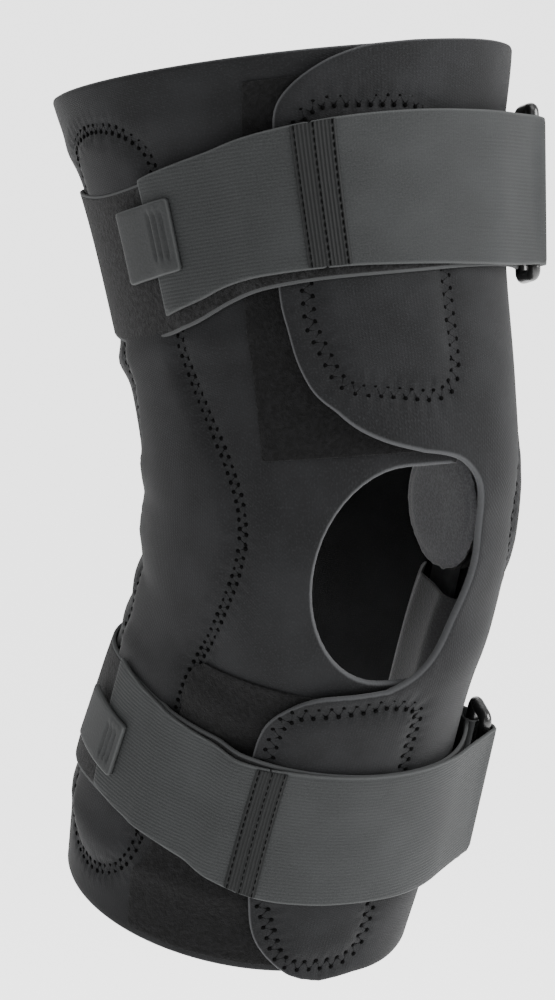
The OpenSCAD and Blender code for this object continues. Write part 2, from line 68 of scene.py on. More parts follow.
def set_camera():
    back = direction(AZIMUTH, ELEVATION)
    right = Vector((math.cos(AZIMUTH), math.sin(AZIMUTH), 0))
    camera = bpy.data.objects.new("camera", bpy.data.cameras.new("camera"))
    camera.data.lens = LENS
    camera.data.sensor_width = 36
    camera.data.clip_end = 90
    camera.location = back.cross(right) * AIM_UP - right * AIM_LEFT + back * DISTANCE
    camera.rotation_mode = "QUATERNION"
    camera.rotation_quaternion = (-back).to_track_quat("-Z", "Y")
    bpy.context.scene.collection.objects.link(camera)
    bpy.context.scene.camera = camera


def set_light(name, azimuth, elevation, distance, size, watts):
    lamp = bpy.data.lights.new(name, "AREA")
    lamp.size = size
    lamp.energy = watts
    light = bpy.data.objects.new(name, lamp)
    back = direction(math.radians(azimuth), math.radians(elevation))
    light.location = back * distance
    light.rotation_mode = "QUATERNION"
    light.rotation_quaternion = (-back).to_track_quat("-Z", "Y")
    bpy.context.scene.collection.objects.link(light)


def set_studio():
    set_camera()
    set_light("key_light", 48, 28, 1.5, 0.9, 52)
    set_light("fill_light", -60, 20, 1.8, 1.4, 13)
    set_light("top_light", -10, 80, 1.6, 1.2, 12)
    set_light("back_light", 160, 30, 1.8, 1.2, 12)
    world = bpy.data.worlds.new("studio")
    world.use_nodes = True
    world.node_tree.nodes["Background"].inputs["Color"].default_value = (1, 1, 1, 1)
    world.node_tree.nodes["Background"].inputs["Strength"].default_value = 0.7
    bpy.context.scene.world = world
    mesh = bpy.data.meshes.new("floor")
    reach = 40
    mesh.from_pydata([(x, y, -FLOOR_DROP) for x, y in
                      ((-reach, -reach), (reach, -reach), (reach, reach), (-reach, reach))],
                     [], [(0, 1, 2, 3)])
    floor = bpy.data.objects.new("floor", mesh)
    pale = Finish("pale_floor")
    pale.surface((0.9, 0.9, 0.9), 0.9, specular=0, glow=2.2)
    mesh.materials.append(pale.material)
    bpy.context.scene.collection.objects.link(floor)


# ---- Shader maths ------------------------------------------------------
class Value:
    """A number in a material that varies over the surface, used in plain expressions."""

    def __init__(self, finish, socket):
        self.finish, self.socket = finish, socket

    def math(self, operation, *others):
        inputs = dict(enumerate((self, *others)))
        return self.finish.node("ShaderNodeMath", {"operation": operation}, inputs)

    def __add__(self, other):
        return self.math("ADD", other)

    def __sub__(self, other):
        return self.math("SUBTRACT", other)

    def __rsub__(self, other):
        return self.math("MULTIPLY", -1).math("ADD", other)

    def __mul__(self, other):
        return self.math("MULTIPLY", other)

    __radd__, __rmul__ = __add__, __mul__

    def wave(self, pitch):
        """0 to 1 and back, once in every pitch."""
        return (self * (2 * math.pi / pitch)).math("SINE") * 0.5 + 0.5

    def step(self, low, high):
        """0 below low, 1 above high, and smooth between them."""
        settings = {"interpolation_type": "SMOOTHSTEP"}
        return self.finish.node("ShaderNodeMapRange", settings, {0: self, 1: low, 2: high})


class Finish:
    """One material, and the nodes that it is made of."""

    def __init__(self, name):
        self.material = bpy.data.materials.new(name)
        self.material.use_nodes = True
        self.tree = self.material.node_tree
        self.tree.nodes.clear()

    def feed(self, socket, value):
        if isinstance(value, Value):
            self.tree.links.new(value.socket, socket)
        elif isinstance(value, tuple) and len(value) == 3 and socket.type == "RGBA":
            socket.default_value = (*value, 1)
        else:
            socket.default_value = value

    def node(self, kind, settings=None, inputs=None, output=0):
        """A node of any kind: its settings first, then its sockets. Gives one output as a value."""
        node = self.tree.nodes.new(kind)
        for key, value in (settings or {}).items():
            setattr(node, key, value)
        for key, value in (inputs or {}).items():
            self.feed(node.inputs[key], value)
        return Value(self, node.outputs[output]) if node.outputs else None

    def flat_place(self):
        """Place on the flat cloth in metres: along the strap or round the leg, and up the leg."""
        uv = self.node("ShaderNodeTexCoord", output="UV")
        return uv, self.node("ShaderNodeSeparateXYZ", None, {0: uv}), self.node(
            "ShaderNodeSeparateXYZ", None, {0: uv}, output=1)

    def place(self):
        return self.node("ShaderNodeTexCoord", output="Object")

    def hem(self):
        """Distance from the cloth's cut edge, in millimetres."""
        return self.node("ShaderNodeAttribute", {"attribute_name": "hem"}, output="Fac")

    def noise(self, place, scale, detail=2.0, roughness=0.5):
        inputs = {"Vector": place, "Scale": scale, "Detail": detail, "Roughness": roughness}
        return self.node("ShaderNodeTexNoise", None, inputs)

    def stretched(self, place, scale):
        return self.node("ShaderNodeMapping", None, {"Vector": place, "Scale": scale})

    def mix(self, share, a, b):
        settings = {"data_type": "RGBA"}
        return self.node("ShaderNodeMix", settings, {0: share, 6: a, 7: b}, output=2)

    def surface(self, colour, roughness, height=None, depth=0.0002, strength=1.0,
                metallic=0.0, specular=0.5, sheen=0.0, sheen_roughness=0.5, glow=0.0):
        inputs = {"Base Color": colour, "Roughness": roughness, "Metallic": metallic,
                  "Specular IOR Level": specular, "Sheen Weight": sheen,
                  "Sheen Roughness": sheen_roughness, "Emission Color": (1, 1, 1),
                  "Emission Strength": glow}
        if height is not None:
            inputs["Normal"] = self.node(
                "ShaderNodeBump", None, {"Strength": strength, "Distance": depth, "Height": height})
        shader = self.node("ShaderNodeBsdfPrincipled", None, inputs)
        self.node("ShaderNodeOutputMaterial", None, {"Surface": shader})
        return self.material


# ---- Finishes ----------------------------------------------------------
def neoprene_finish():
    """Nylon jersey on foam: a fine knit, softly mottled, with a painted highlight along its cut edge."""
    f = Finish("neoprene")
    uv, x, y = f.flat_place()
    mottle = f.noise(uv, 55, 3)
    heather = f.noise(uv, 1500, 1)
    knit = x.wave(0.0011) * (y + x * 0.5).wave(0.0009)
    cloth = f.mix(mottle.step(0.3, 0.75), (0.0045, 0.0046, 0.0049), (0.0078, 0.0080, 0.0086))
    cloth = f.mix(heather.step(0.45, 0.8) * 0.6, cloth, (0.0150, 0.0155, 0.0165))
    # Painted highlight: the colour lightens to pale grey within a millimetre of the cut edge.
    edge = 1 - f.hem().step(0.25, 0.95)
    cloth = f.mix(edge * 0.75, cloth, (0.045, 0.046, 0.048))
    return f.surface(cloth, 0.72 + heather * 0.16, knit * 0.5 + heather * 0.6, 0.00012,
                     specular=0.1, sheen=0.03, sheen_roughness=0.45)


def pile_finish(name, dark, light, border=None):
    """Brushed loops: a deep, uneven fuzz, with a flat woven border where border gives its colour."""
    f = Finish(name)
    place = f.place()
    tufts = f.noise(place, 620, 3, 0.65)
    fibres = f.noise(place, 2600, 1, 0.7)
    fuzz = tufts * 0.7 + fibres * 0.3
    cloth = f.mix(fuzz.step(0.35, 0.7), dark, light)
    height = fuzz
    if border:
        band = 1 - f.hem().step(0.9, 1.3)
        cloth = f.mix(band, cloth, border)
        height = fuzz * (1 - band)
    return f.surface(cloth, 0.95, height, 0.0009, specular=0.08, sheen=0.03, sheen_roughness=0.6)


def hook_finish():
    """Rows of tiny moulded hooks on a tape."""
    f = Finish("hook_tape")
    uv, x, y = f.flat_place()
    hooks = x.wave(0.0016) * y.wave(0.0013)
    tape = f.mix(hooks.step(0.35, 0.8), (0.015, 0.015, 0.016), (0.05, 0.05, 0.052))
    return f.surface(tape, 0.5, hooks, 0.0006, specular=0.4)


def gray_webbing_finish():
    """Smooth elastic webbing: fine ribs along it, crossed by a finer weave."""
    f = Finish("gray_webbing")
    uv, x, y = f.flat_place()
    ribs = y.wave(0.0013)
    weave = x.wave(0.0009) * 0.5 + (x + y).wave(0.0007) * 0.5
    speckle = f.noise(uv, 1900, 2, 0.7)
    cloud = f.noise(uv, 40, 2)
    cloth = f.mix(speckle.step(0.3, 0.75), (0.0105, 0.0112, 0.0114), (0.0235, 0.0247, 0.0250))
    cloth = f.mix(cloud.step(0.35, 0.8) * 0.35, cloth, (0.027, 0.0285, 0.029))
    edge = 1 - f.hem().step(0.2, 1.1)
    cloth = f.mix(edge * 0.5, cloth, (0.050, 0.052, 0.052))
    return f.surface(cloth, 0.66 + speckle * 0.2, ribs * 0.5 + weave * 0.3 + speckle * 0.5, 0.00016,
                     specular=0.12, sheen=0.03, sheen_roughness=0.4)


def seam_finish():
    """Dense dark webbing over the strap's join, ribbed across the strap."""
    f = Finish("seam_webbing")
    uv, x, y = f.flat_place()
    ribs = x.wave(0.0011)
    speckle = f.noise(uv, 1700, 2, 0.7)
    cloth = f.mix(ribs * 0.5 + speckle * 0.5, (0.0045, 0.0048, 0.0048), (0.0125, 0.013, 0.0132))
    return f.surface(cloth, 0.85, ribs + speckle * 0.4, 0.0003, specular=0.15)


def tab_finish():
    """Moulded pull tab, faintly grained."""
    f = Finish("moulded_tab")
    uv, x, y = f.flat_place()
    grain = f.noise(uv, 1200, 2, 0.6)
    body = f.mix(grain.step(0.3, 0.75), (0.0085, 0.0092, 0.0095), (0.0165, 0.0175, 0.0178))
    body = f.mix((1 - f.hem().step(0.2, 0.9)) * 0.6, body, (0.040, 0.042, 0.042))
    return f.surface(body, 0.55 + grain * 0.2, grain, 0.00012, specular=0.2)


def thread_finish():
    f = Finish("thread")
    twist = f.noise(f.place(), 2200, 1)
    # Near-black: the thread's own dark colour, and also the painted shade of the needle holes, on the discs
    # at each zigzag turn.
    colour = f.mix(twist.step(0.35, 0.7), (0.0004, 0.0004, 0.0004), (0.002, 0.002, 0.002))
    return f.surface(colour, 0.9, twist, 0.00015, specular=0.03)


def plastic_finish(name, dark, light, roughness):
    f = Finish(name)
    place = f.place()
    cloud = f.noise(place, 90, 2)
    grain = f.noise(place, 1500, 1)
    colour = f.mix(cloud.step(0.3, 0.8), dark, light)
    return f.surface(colour, roughness + cloud * 0.15, grain, 0.00006, specular=0.5)


def metal_finish(name, dark, light, roughness, grain_scale):
    """Brushed along the bar, with a few duller patches."""
    f = Finish(name)
    place = f.place()
    brushed = f.noise(f.stretched(place, grain_scale), 900, 2, 0.6)
    worn = f.noise(place, 60, 3)
    colour = f.mix(worn.step(0.35, 0.75), light, dark)
    return f.surface(colour, roughness + worn * 0.18 + brushed * 0.1, brushed, 0.00006, metallic=1.0)


def cover_finish(name, dark, light):
    """Knitted cover on foam, seen on the inside of the brace."""
    f = Finish(name)
    place = f.place()
    knit = f.noise(place, 1300, 2, 0.6)
    cloud = f.noise(place, 70, 2)
    cloth = f.mix(knit.step(0.35, 0.7) * 0.6 + cloud * 0.3, dark, light)
    return f.surface(cloth, 0.85, knit, 0.0002, specular=0.25, sheen=0.3)


# ---- Form of the leg ---------------------------------------------------
STATION_TOP = 160
STATION_GAP = 40
HALF_WIDTH = np.array([82, 73.5, 69, 66, 64, 61, 63, 65, 62])
HALF_DEPTH = np.array([82, 73.5, 69.5, 68, 66.5, 62.5, 63, 64, 60])
MIDDLE_BACK = np.array([0.0, -1, -3, -5, -3, 2, 7, 8, 3])
MIDDLE_SIDE = np.array([0.0, 0, 0, 0, 0, 0, 0, -1, -4])
THIGH_LEAN = 12.5
CALF_LEAN = 21.5
BEND_HALF = 32
MID_LEAN = math.radians((THIGH_LEAN - CALF_LEAN) / 2)
BEND_RATE = math.radians(THIGH_LEAN + CALF_LEAN) / (2 * BEND_HALF)
THIGH_REACH = 156
CALF_REACH = 151
# One degree round the leg, in millimetres on the flat cloth
DEGREE = 1.17


def ramp(t):
    t = np.clip(t, 0, 1)
    return t * t * (3 - 2 * t)


def curve(a, b, c, d, t):
    return 0.5 * (2 * b + (c - a) * t + (2 * a - 5 * b + 4 * c - d) * t**2
                  + (3 * b - a - 3 * c + d) * t**3)


def at_station(values, s):
    u = (STATION_TOP - s) / STATION_GAP
    i = np.clip(np.floor(u).astype(int), 0, len(values) - 2)
    a, b, c, d = (values[np.clip(i + k, 0, len(values) - 1)] for k in (-1, 0, 1, 2))
    return curve(a, b, c, d, u - i)


def smooth(points, steps=6):
    """A line's points, with more on a smooth curve between each two."""
    p = np.array(points, float)
    last = len(p) - 1
    line = [curve(p[max(i - 1, 0)], p[i], p[i + 1], p[min(i + 2, last)], k / steps)
            for i in range(last) for k in range(steps)]
    return np.array(line + [p[-1]])


def skin(turn, s, out):
    """Points on the sleeve. turn is 0 at the front and grows towards the outer side, s is the
    length along the leg's axis, and out is the height above the sleeve's outer face."""
    turn, s, out = np.broadcast_arrays(*(np.asarray(v, float) for v in (turn, s, out)))
    t = np.radians(turn)
    wide, deep = at_station(HALF_WIDTH, s), at_station(HALF_DEPTH, s)
    nx, ny = -np.sin(t) * deep, -np.cos(t) * wide
    n = np.hypot(nx, ny)
    x = at_station(MIDDLE_SIDE, s) - wide * np.sin(t) + out * nx / n
    y = at_station(MIDDLE_BACK, s) - deep * np.cos(t) + out * ny / n
    bent = np.clip(s, -BEND_HALF, BEND_HALF)
    lean = MID_LEAN + BEND_RATE * bent
    axis_y = (math.cos(MID_LEAN) - np.cos(lean)) / BEND_RATE + (s - bent) * np.sin(lean)
    axis_z = (np.sin(lean) - math.sin(MID_LEAN)) / BEND_RATE + (s - bent) * np.cos(lean)
    return np.stack([x, axis_y + y * np.cos(lean), axis_z - y * np.sin(lean)], -1)


def unit(v):
    return v / np.linalg.norm(v, axis=-1, keepdims=True)


# ---- Flat patterns -----------------------------------------------------
def to_flat(points):
    p = np.asarray(points, float)
    return p * (-DEGREE, 1)


def from_flat(points):
    return points / (-DEGREE, 1)


def nearest(points, line, closed=False):
    """Each point's distance from a line, how far along it that is, and on which side."""
    a = line if closed else line[:-1]
    way = (np.roll(line, -1, 0) if closed else line[1:]) - a
    size = np.linalg.norm(way, axis=1)
    start = np.cumsum(size) - size
    found = []
    for i in range(0, len(points), 2000):
        p = points[i:i + 2000, None] - a
        t = np.clip((p * way).sum(2) / size**2, 0, 1)
        off = p - t[..., None] * way
        gap = np.hypot(off[..., 0], off[..., 1])
        k = gap.argmin(1)
        r = np.arange(len(k))
        side = np.sign(way[k, 0] * off[r, k, 1] - way[k, 1] * off[r, k, 0])
        found.append(np.stack([gap[r, k], start[k] + t[r, k] * size[k], side]))
    return np.concatenate(found, 1) if found else np.zeros((3, 0))


def inside(points, loop):
    a, b = loop, np.roll(loop, -1, 0)
    rise = np.where(b[:, 1] == a[:, 1], 1e-9, b[:, 1] - a[:, 1])
    found = []
    for i in range(0, len(points), 4000):
        x, y = points[i:i + 4000, :1], points[i:i + 4000, 1:]
        crossed = ((a[:, 1] > y) != (b[:, 1] > y)) & (
            x < (b[:, 0] - a[:, 0]) * (y - a[:, 1]) / rise + a[:, 0])
        found.append(crossed.sum(1) % 2 == 1)
    return np.concatenate(found)


def dense(line, gap, closed=True):
    """A line's points, with more between any two that are further apart than gap."""
    ends = np.roll(line, -1, 0) if closed else line[1:]
    points = []
    for a, b in zip(line, ends):
        n = max(1, math.ceil(np.linalg.norm(b - a) / gap))
        points += [a + (b - a) * k / n for k in range(n)]
    if not closed:
        points.append(line[-1])
    return np.array(points)


def rounded(loop, radius, sharpest=25):
    """A closed loop with an arc in place of each sharp corner."""
    points = []
    n = len(loop)
    for i in range(n):
        before, here, after = loop[i - 1], loop[i], loop[(i + 1) % n]
        a, b = unit(before - here), unit(after - here)
        turn = math.degrees(math.acos(np.clip(-(a @ b), -1, 1)))
        if turn < sharpest:
            points.append(here)
            continue
        reach = min(radius * math.tan(math.radians(turn / 2)),
                    0.45 * np.linalg.norm(before - here), 0.45 * np.linalg.norm(after - here))
        start, end = here + a * reach, here + b * reach
        points += [(1 - t)**2 * start + 2 * t * (1 - t) * here + t * t * end
                   for t in np.linspace(0, 1, 7)]
    return np.array(points)


RIM_STEPS = (0.3, 1.0)


def cut(edge, gap, rim, extra, fine):
    """A sheet's flat pattern: its points, its triangles and each point's distance from the edge."""
    edge = dense(edge, gap)
    way = unit(np.roll(edge, -1, 0) - np.roll(edge, 1, 0))
    inward = np.stack([-way[:, 1], way[:, 0]], 1)
    rings = [edge + inward * rim * share for share in RIM_STEPS]
    low, high = edge.min(0), edge.max(0)
    rows = np.arange(low[1], high[1], gap * 0.866)
    grid = np.array([(x + (j % 2) * gap / 2, y) for j, y in enumerate(rows)
                     for x in np.arange(low[0], high[0], gap)])
    if len(extra):
        extra = extra[inside(extra, edge)]
        cells = np.round(extra / fine).astype(int)
        extra = extra[np.unique(cells, axis=0, return_index=True)[1]]
        near = math.ceil(0.5 * gap / fine)
        taken = {(i + k, j + m) for i, j in np.unique(cells, axis=0)
                 for k in range(-near, near + 1) for m in range(-near, near + 1)}
        cells = np.round(grid / fine).astype(int)
        grid = grid[[(i, j) not in taken for i, j in cells]]
        grid = np.concatenate([grid, extra])
    grid = grid[inside(grid, edge)]
    far = nearest(grid, edge, True)[0]
    clear = far > rim + 0.4 * gap
    points = np.concatenate([edge, *rings, grid[clear]])
    hem = np.concatenate([np.full(len(edge), rim * share) for share in (0, *RIM_STEPS)] + [far[clear]])
    corners = [Vector(p) for p in points]
    made = delaunay_2d_cdt(corners, [], [list(range(len(edge)))], 1, 1e-4)
    source = [o[0] for o in made[3]]
    triangles = np.array([[source[i] for i in f] for f in made[2]])
    return points, triangles, hem, len(edge)


def new_piece(name, points, faces, finish, uv=None, **attributes):
    """A mesh object from points in millimetres, at the origin of the frame."""
    mesh = bpy.data.meshes.new(name)
    mesh.from_pydata([tuple(p) for p in np.asarray(points) * MM], [], [list(f) for f in faces])
    mesh.polygons.foreach_set("use_smooth", np.ones(len(mesh.polygons), bool))
    if uv is not None:
        corner = np.zeros(len(mesh.loops), int)
        mesh.loops.foreach_get("vertex_index", corner)
        mesh.uv_layers.new(name="flat").data.foreach_set("uv", (uv[corner] * MM).ravel())
    for key, values in attributes.items():
        mesh.attributes.new(key, "FLOAT", "POINT").data.foreach_set("value", values)
    mesh.materials.append(finish)
    mesh.update()
    piece = bpy.data.objects.new(name, mesh)
    bpy.context.scene.collection.objects.link(piece)
    return piece


def sheet(name, outline, low, high, finish, gap=2.5, rim=0.5, place=skin, extra=(),
          fine=1.3):
    """A closed sheet with rounded edges. outline is a loop on the flat cloth, anticlockwise;
    low and high give the heights of its two faces at any turn and s."""
    points, triangles, hem, edge_size = cut(outline, gap, rim, extra, fine)
    turn, s = from_flat(points).T
    drop = rim - np.sqrt(np.maximum(0, rim**2 - np.maximum(0, rim - hem)**2))
    top = place(turn, s, high(turn, s) - drop)
    bottom = place(turn, s, low(turn, s) + drop)
    n = len(points)
    a, b, c = (points[triangles[:, k]] for k in range(3))
    pattern = (b - a)[:, 0] * (c - a)[:, 1] - (b - a)[:, 1] * (c - a)[:, 0]
    triangles[pattern < 0] = triangles[pattern < 0][:, ::-1]
    i = np.arange(edge_size)
    j = (i + 1) % edge_size
    walls = np.stack([i + n, j + n, j, i], 1)
    faces = [*triangles, *(triangles[:, ::-1] + n), *walls]
    piece = new_piece(name, np.concatenate([top, bottom]), faces, finish,
                      uv=np.concatenate([points, points]), hem=np.concatenate([hem, hem]))
    one_side = [top[triangles[:, k]] for k in range(3)]
    across = np.cross(one_side[1] - one_side[0], one_side[2] - one_side[0])
    area = np.linalg.norm(across, axis=1).sum() / 2
    extent = points.max(0) - points.min(0)
    stretch = math.sqrt(area / (np.abs(pattern).sum() / 2))
    piece["flat"] = [float(x) for x in extent * stretch * MM]
    piece["area"] = float(area * MM * MM)
    return piece


def declare(piece, held, *rests_on):
    """Reads the size of a piece's flat pattern and its area, then removes them from the piece."""
    width, length = piece["flat"]
    area = min(piece["area"], width * length)
    del piece["flat"], piece["area"]


# ---- Where the neoprene is cut in two -----------------------------------
# Each half of the sleeve is cut at the middle of the hinge links; bend_with only bakes its transform into its
# mesh.
LINK_WAY = Vector((0, math.sin(MID_LEAN), math.cos(MID_LEAN)))


def bend_with(piece, half):
    if half == "upper":
        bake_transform(piece)
    else:
        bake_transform(piece)


def half_of(piece, name, half):
    """One half of a closed piece, cut at the middle of the hinge links and closed there."""
    copy = piece.copy()
    copy.data = piece.data.copy()
    copy.name = copy.data.name = name
    bpy.context.scene.collection.objects.link(copy)
    bm = bmesh.new()
    bm.from_mesh(copy.data)
    bmesh.ops.bisect_plane(bm, geom=[*bm.verts, *bm.edges, *bm.faces], dist=1e-7,
                           plane_co=(0, 0, 0), plane_no=LINK_WAY,
                           clear_inner=half == "upper", clear_outer=half == "lower")
    rim = [e for e in bm.edges if len(e.link_faces) == 1]
    cap = bmesh.ops.holes_fill(bm, edges=rim, sides=0)["faces"]
    bmesh.ops.triangulate(bm, faces=cap)
    for edge in rim:
        edge.smooth = False
    bm.to_mesh(copy.data)
    bm.free()
    return copy


# ---- Neoprene wrap -----------------------------------------------------
# One sheet: from the flaps' free edge in front, round the inner side, the back and the outer
# side, to the edge of the under panel, which lies hidden beneath the flaps.
NEOPRENE = 3.3
UNDER_EDGE = -370
FLAP_HEIGHT = 5.0
THIGH_FLAP = [[8, 155.5], [13, 154.5], [21, 151], [29, 144.5], [34, 136.5], [35.5, 125], [37, 105],
              [40, 75], [39.5, 61], [38, 48], [34, 37], [26, 29], [16, 24.5], [4, 21.8]]
OPENING_INNER = [[-5, 20.6], [-11, 18.4], [-16, 13.8], [-18.6, 5.3], [-18.9, -2.5], [-15.5, -11],
                 [-9.5, -20.8], [-2, -27.8]]
CALF_FLAP = [[6, -31.6], [13.5, -33.5], [26, -37], [34, -43], [40, -53], [40.4, -68], [38, -82],
             [34, -100], [30.5, -120], [27, -134], [21, -143], [12, -150], [2, -152.5]]
# The opening is an oval, with the under panel's edge running on straight beneath the flaps
OPENING_TURN = 8
OPENING_HALF_TURN = 28.7
OPENING_TOP = 19
OPENING_BOTTOM = 31
OPENING_HIDDEN = -9.5
# Hinge pockets: half width in degrees at places along the leg, the same on both sides of the
# middle, with a round end at the top and the bottom
POCKET_MIDDLE = 92
POCKET_HALVES = [[20, 125], [20, 90], [17, 60], [22, 35], [32, 5], [26, -25], [22, -50], [22, -115]]
POCKET_TOP_END = 16
POCKET_BOTTOM_END = 22
# The inner pocket reaches further forward beside the hinge
INNER_FORWARD = 15
INNER_FORWARD_REACH = 25
# Corners of the quilted outlines on the flaps
THIGH_QUILTING = [[-8, 32], [27, 39], [33, 62], [29, 138], [-8, 135]]
CALF_QUILTING = [[-8, -39], [5, -37], [36, -46], [36, -65], [27, -120], [16, -146], [-10, -145]]
QUILTING_CORNER = 12
# Width between the two rows of needle holes, and the length of one zigzag
WIDE_ZIGZAG = (3.6, 4.4)
POCKET_ZIGZAG = (2.8, 3.4)
# Soft folds behind the knee and beside the lower strap, as turn, s, height, and reach each way
FOLDS = [[-238, 62, 1.6, 17, 6], [-232, 24, 1.3, 20, 5], [-240, 10, -1.0, 22, 5],
         [-228, -6, 1.5, 20, 6], [-240, -24, -1.0, 20, 5], [-232, -38, 1.4, 18, 6],
         [-180, 20, 1.6, 30, 5], [-185, 6, -1.4, 34, 5], [-178, -8, 1.7, 32, 6],
         [-184, -24, -1.2, 28, 5], [-120, 30, 1.1, 18, 6], [-124, -12, 1.1, 18, 6],
         [-290, -48, 1.0, 14, 5], [-300, 58, 0.7, 12, 5]]


def round_the_back(points):
    """The same places on the outer side, reached the long way round."""
    return np.array(points) - (360, 0)


def opening_outer():
    angles = np.radians(np.linspace(-90, 90, 25))
    middle, half = (OPENING_TOP - OPENING_BOTTOM) / 2, (OPENING_TOP + OPENING_BOTTOM) / 2
    turn = OPENING_TURN + OPENING_HALF_TURN * np.cos(angles)
    oval = np.stack([turn, middle + half * np.sin(angles)], 1)
    return np.concatenate([[[OPENING_HIDDEN, -OPENING_BOTTOM]], oval, [[OPENING_HIDDEN, OPENING_TOP]]])


def pocket(forward=0):
    """A closed outline on the outer side. forward moves the front edge on, beside the hinge."""
    side = smooth(POCKET_HALVES)
    half, s = side.T
    front = POCKET_MIDDLE - half - forward * np.exp(-((s - 5) / INNER_FORWARD_REACH)**2)
    angles = np.radians(np.linspace(0, 180, 13))[1:-1]
    across, along = np.cos(angles), np.sin(angles)
    top = np.stack([POCKET_MIDDLE - half[0] * across, s[0] + POCKET_TOP_END * along], 1)
    bottom = np.stack([POCKET_MIDDLE + half[-1] * across, s[-1] - POCKET_BOTTOM_END * along], 1)
    edge = [np.stack([front, s], 1)[::-1], top, np.stack([POCKET_MIDDLE + half, s], 1), bottom]
    loop = np.concatenate(edge)
    return np.concatenate([loop, loop[:1]])


def quilting(corners):
    loop = rounded(to_flat(corners), QUILTING_CORNER)
    return np.concatenate([loop, loop[:1]])


def seam_lines():
    """The zigzag seams of the wrap on the flat cloth: name, line, width between rows, and pitch."""
    return [("outer_pocket", to_flat(round_the_back(pocket())), *POCKET_ZIGZAG),
            ("inner_pocket", to_flat(pocket(INNER_FORWARD) * (-1, 1)), *POCKET_ZIGZAG),
            ("thigh_flap", quilting(THIGH_QUILTING), *WIDE_ZIGZAG),
            ("calf_flap", quilting(CALF_QUILTING), *WIDE_ZIGZAG)]


def wrap_outline():
    opening = smooth([THIGH_FLAP[-1], *OPENING_INNER, CALF_FLAP[0]])[1:-1]
    flap_side = np.concatenate([smooth(THIGH_FLAP), opening, smooth(CALF_FLAP)])
    under = round_the_back(opening_outer())
    hidden = [[UNDER_EDGE, -CALF_REACH], [UNDER_EDGE, under[0][1]]]
    top = [[UNDER_EDGE, under[-1][1]], [UNDER_EDGE, THIGH_REACH], [-2, THIGH_REACH]]
    bottom = [[-10, -CALF_REACH]]
    loop = np.concatenate([flap_side, bottom, hidden, under, top])
    return to_flat(loop)


def wrap_layer(turn, s):
    """How far the flap side stands off the under panel: it lies down beside the opening."""
    beside = ramp((22 - np.abs(s + 6)) / 14)
    return FLAP_HEIGHT * ramp((turn + 62) / 48) * (1 - 0.6 * beside * ramp((2 - turn) / 12))


def relief(turn, s):
    """Swellings, quilting and puckers of the wrap's outer face, in millimetres."""
    p = to_flat(np.stack([turn, s], -1))
    height = np.zeros(len(p))
    for name, line, width, pitch in seam_lines():
        gap, along, side = nearest(p, line)
        within = inside(p, line)
        swell = 1.5 if "pocket" in name else 0.8
        height += np.where(within, swell * ramp((gap - 1) / 7), 0)
        row = np.abs(gap - width / 2)
        hole = 0.5 + 0.5 * np.cos(2 * math.pi * (along / pitch + side * 0.25))
        height -= 0.45 * np.exp(-(gap / 3.2)**2) + 0.55 * hole * np.exp(-(row / 1.1)**2)
        pucker = np.exp(-((gap - width / 2 - 2.5) / 2)**2)
        height += 0.22 * pucker * np.cos(2 * math.pi * (along / pitch + side * 0.25 + 0.5))
    for t, at, high, reach, tall in FOLDS:
        height += high * np.exp(-((turn - t) / reach)**2 - ((s - at - 0.12 * (turn - t)) / tall)**2)
    for edge in (137, 62, -54, -124):
        height += 0.9 * np.exp(-((s - edge) / 5)**2) * ramp((-turn - 70) / 20)
    return height


def wrap_high(turn, s):
    return wrap_layer(turn, s) + relief(turn, s)


def wrap_low(turn, s):
    return wrap_layer(turn, s) - NEOPRENE


def on_wrap(points, lift=0.0):
    """Points of the wrap's outer face at places on the flat cloth, and the way out there."""
    turn, s = from_flat(points).T
    high = wrap_high(turn, s) + lift
    here = skin(turn, s, high)
    return here, unit(skin(turn, s, high + 1) - here)


def beside_seams():
    """Extra points either side of the seams, so that the cloth can pucker there."""
    points = []
    for _, line, _, _ in seam_lines():
        line = dense(line, 1.3, False)
        way = unit(np.gradient(line, axis=0))
        across = np.stack([-way[:, 1], way[:, 0]], 1)
        points += [line + across * off for off in np.arange(-4.2, 4.3, 1.4)]
    return np.concatenate(points)


def surface_area(piece):
    return sum(face.area for face in piece.data.polygons)


def make_wrap(finish):
    whole = sheet("wrap", wrap_outline(), wrap_low, wrap_high, finish, gap=2.6, rim=1.1,
                  extra=beside_seams())
    replaced = {"upper": ("thigh_sleeve", "thigh_flap", "knee_sleeve"),
                "lower": ("calf_sleeve", "calf_flap")}
    for half, nodes in replaced.items():
        piece = half_of(whole, f"{half}_wrap", half)
        share = (THIGH_REACH if half == "upper" else CALF_REACH) / (THIGH_REACH + CALF_REACH)
        width, length = whole["flat"]
        piece["flat"] = [width, length * share]
        piece["area"] = whole["area"] * surface_area(piece) / surface_area(whole)
        declare(piece, "stretched", f"lateral_{half}_lining", f"medial_{half}_lining")
        bend_with(piece, half)
        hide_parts(*nodes)
    bpy.data.objects.remove(whole)


# ---- Stitching ---------------------------------------------------------
def new_tree(name, **inputs):
    """A Geometry Nodes tree with a Geometry input and output, and named inputs for its sizes."""
    tree = bpy.data.node_groups.new(name, "GeometryNodeTree")
    tree.interface.new_socket("Geometry", in_out="INPUT", socket_type="NodeSocketGeometry")
    tree.interface.new_socket("Geometry", in_out="OUTPUT", socket_type="NodeSocketGeometry")
    for label, value in inputs.items():
        kind = "NodeSocketMaterial" if value is None else "NodeSocketFloat"
        made = tree.interface.new_socket(label, in_out="INPUT", socket_type=kind)
        if value is not None:
            made.default_value = value
    return tree


